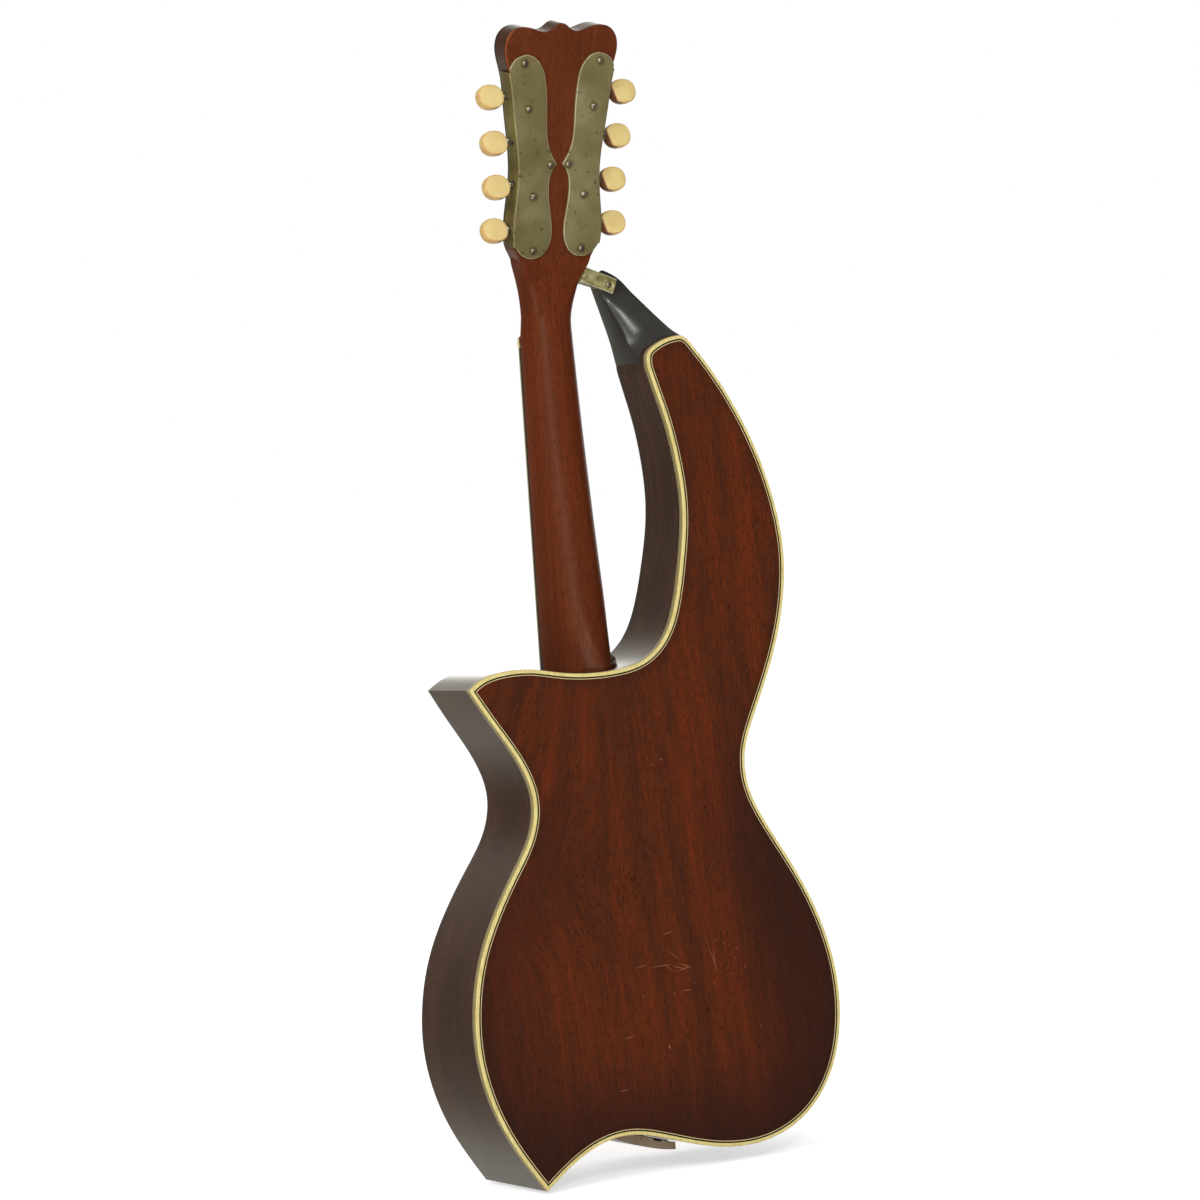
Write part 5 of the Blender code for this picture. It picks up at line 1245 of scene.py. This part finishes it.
# The strap's edge bevels get the painted highlight
for row in rows[1:2] + rows[-2:-1]:
    for vertex in row:
        for face in vertex.link_faces:
            face.material_index = 1
strap = finished_piece("strap", mesh, strap_metal, NECK_BODY, ["neck_bracket"], turn=STRAP_TURN)
strap.data.materials.append(nickel_edge_highlight)
mesh = bmesh.new()
turned(mesh, ((-0.2, 1.6), (0.6, 2.35)), (STRAP_SCREW, 0.0, 0.0), (0, 1, 0))
countersink = hidden_tool("countersink_tool", mesh, STRAP_TURN)
cut(strap, countersink)
mesh = bmesh.new()
slotted_head(mesh, (STRAP_SCREW, -0.1, 0.0), 1.6, 0.75, 60.0)
finished_piece("strap_screw", mesh, screw_steel, NECK_BODY, turn=STRAP_TURN)


# The bridge and tailpiece
# A loose ebony bridge, and a bent tailpiece of nickel silver with four hooks, screwed to the tail.
# They keep the solids' shapes, with their edges broken.
def soften(node, width, segments=2):
    """Break one of the solids' sharp edges."""
    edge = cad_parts[node].modifiers.new("broken_edges", "BEVEL")
    edge.width = width * MM
    edge.segments = segments
    edge.limit_method = "ANGLE"
    edge.angle_limit = math.radians(30.0)
    edge.harden_normals = True


for node, finish, width in (("bridge", ebony, 0.4), ("tailpiece", nickel, 0.25)):
    refinish(node, finish)
    soften(node, width)


# The tailpiece's cover
# A cover pressed from 0.8 mm nickel silver. It hides the hooks, and slides on from the tail, where its
# foot wraps under the body and ends in a lip. The lip's plating has worn to a dull tan, painted paler as light in the
# body's shadow.
COVER_HALF_WIDTH = 21.2
COVER_LIP = 30.0
COVER_SHEET = 0.8

# The lip's tan is paler than the worn plating: painted light against the shadow under the body
worn_plating_lightened = aged_metal("nickel_plating_worn_tan_painted_light", "#CFB496", "#DCC5A8", "#B59C7E", 0.6, 0.05)
tail_line = inset_loop(0.0)
tail_line = tail_line[(tail_line[:, 1] < -400.0) & (np.abs(tail_line[:, 0]) < 60.0)]
tail_line = tail_line[np.argsort(tail_line[:, 0])]
mesh = bmesh.new()
rings = []
for x in np.linspace(COVER_HALF_WIDTH, -COVER_HALF_WIDTH, 25):
    z = float(np.interp(x, tail_line[:, 0], tail_line[:, 1]))
    share = x / COVER_HALF_WIDTH
    arch = 1.0 - 0.12 * share ** 2
    foot = z + 422.9
    low = z - 5.1 - 1.3 * (1.0 - share ** 2) + 0.8 * max(0.0, share)
    outer = [(-392.0 + 0.2 * foot, -8.0 * arch), (-394.5 + 0.2 * foot, -9.9 * arch), (-398.0 + 0.3 * foot, -11.0 * arch),
             (-411.0 + 0.6 * foot, -11.5 * arch), (-424.0 + foot, -11.6 * arch), (z - 1.5, -9.5 * arch),
             (z - 3.6, -7.4 * arch), (low + 0.3, -5.6), (low, -4.6), (low, COVER_LIP - 0.6),
             (low + 0.5, COVER_LIP), (z - 0.9, COVER_LIP)]
    inner = [(z - 0.9, COVER_LIP - COVER_SHEET), (low + COVER_SHEET, COVER_LIP - COVER_SHEET),
             (low + COVER_SHEET, -4.8), (z - 1.2, -8.6 * arch), (-423.8 + foot, -10.7 * arch),
             (-398.3 + 0.3 * foot, -10.1 * arch), (-392.9 + 0.2 * foot, -7.4 * arch)]
    rings.append([(x, y, w) for w, y in outer + inner])
rows = ring_shell(mesh, rings, capped=True)
for row in rows:
    for vertex in row[10:12]:
        for face in vertex.link_faces:
            face.material_index = 1
cover = finished_piece("tailpiece_cover_pressed", mesh, nickel, "tailpiece_lid", ["tailpiece_cover"])
cover.data.materials.append(worn_plating_lightened)
# A near-black patch where the cover's slot is: painted shadow of the opening
mesh = bmesh.new()
corners = ((-7.8, -432.4), (-7.8, -433.6), (-12.6, -435.1), (-12.6, -434.0))
ring_shell(mesh, [[(x, y, z) for x, z in corners] for y in (COVER_LIP - 0.3, COVER_LIP + 0.02)], capped=True)
finished_piece("tailpiece_cover_slot_shadow", mesh, hole_shadow, "tailpiece_lid")


# The strings
# Eight steel strings in four pairs; the two low pairs are wound with bronze. Each ends in three
# turns round its post.
STRING_RADII = (0.48, 0.48, 0.33, 0.33, 0.19, 0.19, 0.14, 0.14)
HOOK_PLACES = (-11.4, -3.8, 3.8, 11.4)
STRING_ORDER = ("bass_1", "bass_2", "bass_3", "bass_4", "treble_4", "treble_3", "treble_2", "treble_1")


def tube(mesh, route, radius, sides=8):
    """A round wire along the route."""
    route = [Vector(spot) for spot in route]
    rings = []
    sideways = None
    for i, spot in enumerate(route):
        run = (route[min(i + 1, len(route) - 1)] - route[max(i - 1, 0)]).normalized()
        if sideways is None:
            sideways = run.orthogonal().normalized()
        sideways = (sideways - run * sideways.dot(run)).normalized()
        upward = run.cross(sideways)
        rings.append([spot + (sideways * math.cos(a) + upward * math.sin(a)) * radius
                      for a in np.linspace(0.0, 2.0 * math.pi, sides, endpoint=False)])
    ring_shell(mesh, rings, capped=True)


plain_wire, _, shader = new_finish("steel_string_bright")
shader.inputs["Base Color"].default_value = linear("#B4B2AA")
shader.inputs["Metallic"].default_value = 1.0
shader.inputs["Roughness"].default_value = 0.25
wound_wire, _, shader = new_finish("bronze_string_winding")
shader.inputs["Base Color"].default_value = linear("#9A6F3E")
shader.inputs["Metallic"].default_value = 1.0
shader.inputs["Roughness"].default_value = 0.35
post_places = {label: (side * offset, height + WORM_TO_GEAR) for side, label, height, offset, _, _ in tuner_stations()}
for number, radius in enumerate(STRING_RADII):
    pair = number // 2
    within = -1 if number % 2 == 0 else 1
    post_x, post_v = post_places[STRING_ORDER[number]]
    low_turns = STRING_ORDER[number][-1] in "13"
    around = (POST_RADIUS if low_turns else 2.4) + 0.05 + radius
    rise = 2.2 if low_turns else 4.9
    turns = []
    inner_side = -1.0 if post_x > 0 else 1.0
    for step in range(0, 73):
        angle = step / 24 * 2.0 * math.pi
        spot = Vector((post_x + inner_side * around * math.cos(angle),
                       -HEAD_WOOD - 1.5 - rise + (step / 72 - 0.5) * 3.0 * (2.0 * radius + 0.05),
                       post_v + around * math.sin(angle)))
        turns.append(HEAD_TURN @ (spot * MM) / MM)
    route = [(HOOK_PLACES[pair] + within * (1.5 + radius), -3.0, -408.0),
             (-18.0 + 12.0 * pair + within * 1.3, -10.2, -SCALE_LENGTH),
             (-10.2 + 6.8 * pair + within * 1.1, -7.2, 0.0),
             (-10.2 + 6.8 * pair + within * 1.1, -7.1, NUT_THICKNESS)] + turns
    mesh = bmesh.new()
    tube(mesh, route, radius)
    finished_piece(f"string_wire_{number + 1}", mesh, wound_wire if number < 4 else plain_wire, NECK_BODY,
                   [f"string_{number + 1}"], smooth_angle=60.0)


# Floor, light and camera
# A white floor, plain even light with three soft boxes round the camera, and the camera where the
# photograph was taken from. The varnish and the metal show the white behind the instrument, a bank
# of lamps above that, and the dimmer room round the camera.
FLOOR_HEIGHT = -0.4465
CAMERA_PLACE = (1.2471, 2.2896, -0.0600)
CAMERA_TURN = (88.222, 4.896, 150.887)
CAMERA_LENS = 144.0
TOWARDS_CAMERA = (0.484, 0.8745, 0.031)
DAYLIGHT = 0.52
CEILING = 0.3
LAMP_BANK = 2.0


def studio_piece(name, mesh, finish):
    """Part of the studio, which isn't part of the instrument."""
    data = bpy.data.meshes.new(name)
    mesh.to_mesh(data)
    mesh.free()
    data.materials.append(finish)
    piece = bpy.data.objects.new(name, data)
    bpy.context.scene.collection.objects.link(piece)
    piece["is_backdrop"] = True
    return piece


floor_paper, tree, shader = new_finish("floor_white_paper")
shader.inputs["Base Color"].default_value = linear("#F4F4F4")
shader.inputs["Roughness"].default_value = 0.9
shader.inputs["Specular IOR Level"].default_value = 0.0
shader.inputs["Emission Color"].default_value = (1.0, 1.0, 1.0, 1.0)
path = add(tree, "LightPath")
seen = add(tree, "Math", {0: path.outputs["Is Camera Ray"], 1: path.outputs["Is Glossy Ray"]}, operation="MAXIMUM")
seen = add(tree, "Math", {0: seen.outputs[0], 1: path.outputs["Is Transmission Ray"]}, operation="MAXIMUM")
lift = add(tree, "Math", {0: seen.outputs[0], 1: 0.6}, operation="MULTIPLY")
tree.links.new(lift.outputs[0], shader.inputs["Emission Strength"])
mesh = bmesh.new()
bmesh.ops.create_grid(mesh, x_segments=1, y_segments=1, size=30.0)
floor = studio_piece("floor", mesh, floor_paper)
floor.location.z = FLOOR_HEIGHT
floor.visible_glossy = False

world = bpy.data.worlds.new("studio")
bpy.context.scene.world = world
world.use_nodes = True
tree = world.node_tree


def world_mix(share, first, second, **settings):
    """Two colours of the world mixed."""
    return add(tree, "Mix", {"Factor": share, "A": first, "B": second}, data_type="RGBA", **settings).outputs["Result"]


outwards = add(tree, "TexCoord").outputs["Generated"]
facing = add(tree, "VectorMath", {0: outwards, 1: TOWARDS_CAMERA}, operation="DOT_PRODUCT").outputs["Value"]
share = add(tree, "MapRange", {"Value": facing, "From Min": -1.0, "From Max": 1.0}).outputs[0]
walls = ramp(tree, share, [(0.0, 1.0), (0.1, "#F8F9EE"), (0.18, "#9E9A8E"), (0.26, "#5E5A53"), (0.5, "#45403B"),
                           (0.75, "#24211E"), (1.0, "#1B1A18")])
upwards = add(tree, "SeparateXYZ", {0: outwards}).outputs["Z"]
mirrored = world_mix(1.0, walls, ramp(tree, upwards, [(0.5, 0.0), (0.9, CEILING)]), blend_type="LIGHTEN")
behind = add(tree, "MapRange", {"Value": facing, "From Min": -0.78, "From Max": -0.92, "To Max": LAMP_BANK},
             interpolation_type="SMOOTHSTEP").outputs[0]
above = add(tree, "MapRange", {"Value": upwards, "From Min": 0.02, "From Max": 0.12},
            interpolation_type="SMOOTHSTEP").outputs[0]
below = add(tree, "MapRange", {"Value": upwards, "From Min": 0.5, "From Max": 0.15},
            interpolation_type="SMOOTHSTEP").outputs[0]
above = add(tree, "Math", {0: above, 1: below}, operation="MULTIPLY").outputs[0]
bank = add(tree, "Math", {0: behind, 1: above}, operation="MULTIPLY").outputs[0]
mirrored = world_mix(bank, mirrored, (1.0, 1.0, 0.92, 1.0), blend_type="ADD", clamp_factor=False)
path = add(tree, "LightPath")
shown = world_mix(path.outputs["Is Glossy Ray"], (DAYLIGHT, DAYLIGHT, DAYLIGHT, 1.0), mirrored)
seen = add(tree, "Math", {0: path.outputs["Is Camera Ray"], 1: path.outputs["Is Transmission Ray"]},
           operation="MAXIMUM").outputs[0]
shown = world_mix(seen, shown, (1.0, 1.0, 1.0, 1.0))
tree.links.new(shown, tree.nodes["Background"].inputs["Color"])


def soft_box(name, place, target, size, power):
    """A square area lamp that faces the target."""
    lamp = bpy.data.lights.new(name, "AREA")
    lamp.shape = "SQUARE"
    lamp.size = size
    lamp.energy = power
    holder = bpy.data.objects.new(name, lamp)
    holder.location = place
    holder.rotation_euler = (Vector(target) - Vector(place)).to_track_quat("-Z", "Y").to_euler()
    bpy.context.scene.collection.objects.link(holder)


soft_box("key_box", (2.2, 1.6, 1.3), (0.0, 0.0, -0.15), 1.4, 32.0)
soft_box("top_box", (0.75, 2.65, 1.2), (0.0, 0.0, -0.1), 0.5, 20.0)
soft_box("low_box", (1.3, 2.3, -0.3), (0.0, 0.0, -0.4), 0.8, 18.0)
soft_box("throat_box", (1.35, 0.92, -1.15), (0.0, 0.0, 0.03), 0.8, 14.0)
bpy.data.objects["throat_box"].visible_diffuse = False

lens = bpy.data.cameras.new("camera")
lens.lens = CAMERA_LENS
lens.sensor_width = 36.0
lens.clip_end = 100.0
camera = bpy.data.objects.new("camera", lens)
camera.location = CAMERA_PLACE
camera.rotation_euler = Euler([math.radians(a) for a in CAMERA_TURN])
bpy.context.scene.collection.objects.link(camera)
bpy.context.scene.camera = camera
bpy.context.scene.view_settings.view_transform = "Standard"

low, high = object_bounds()
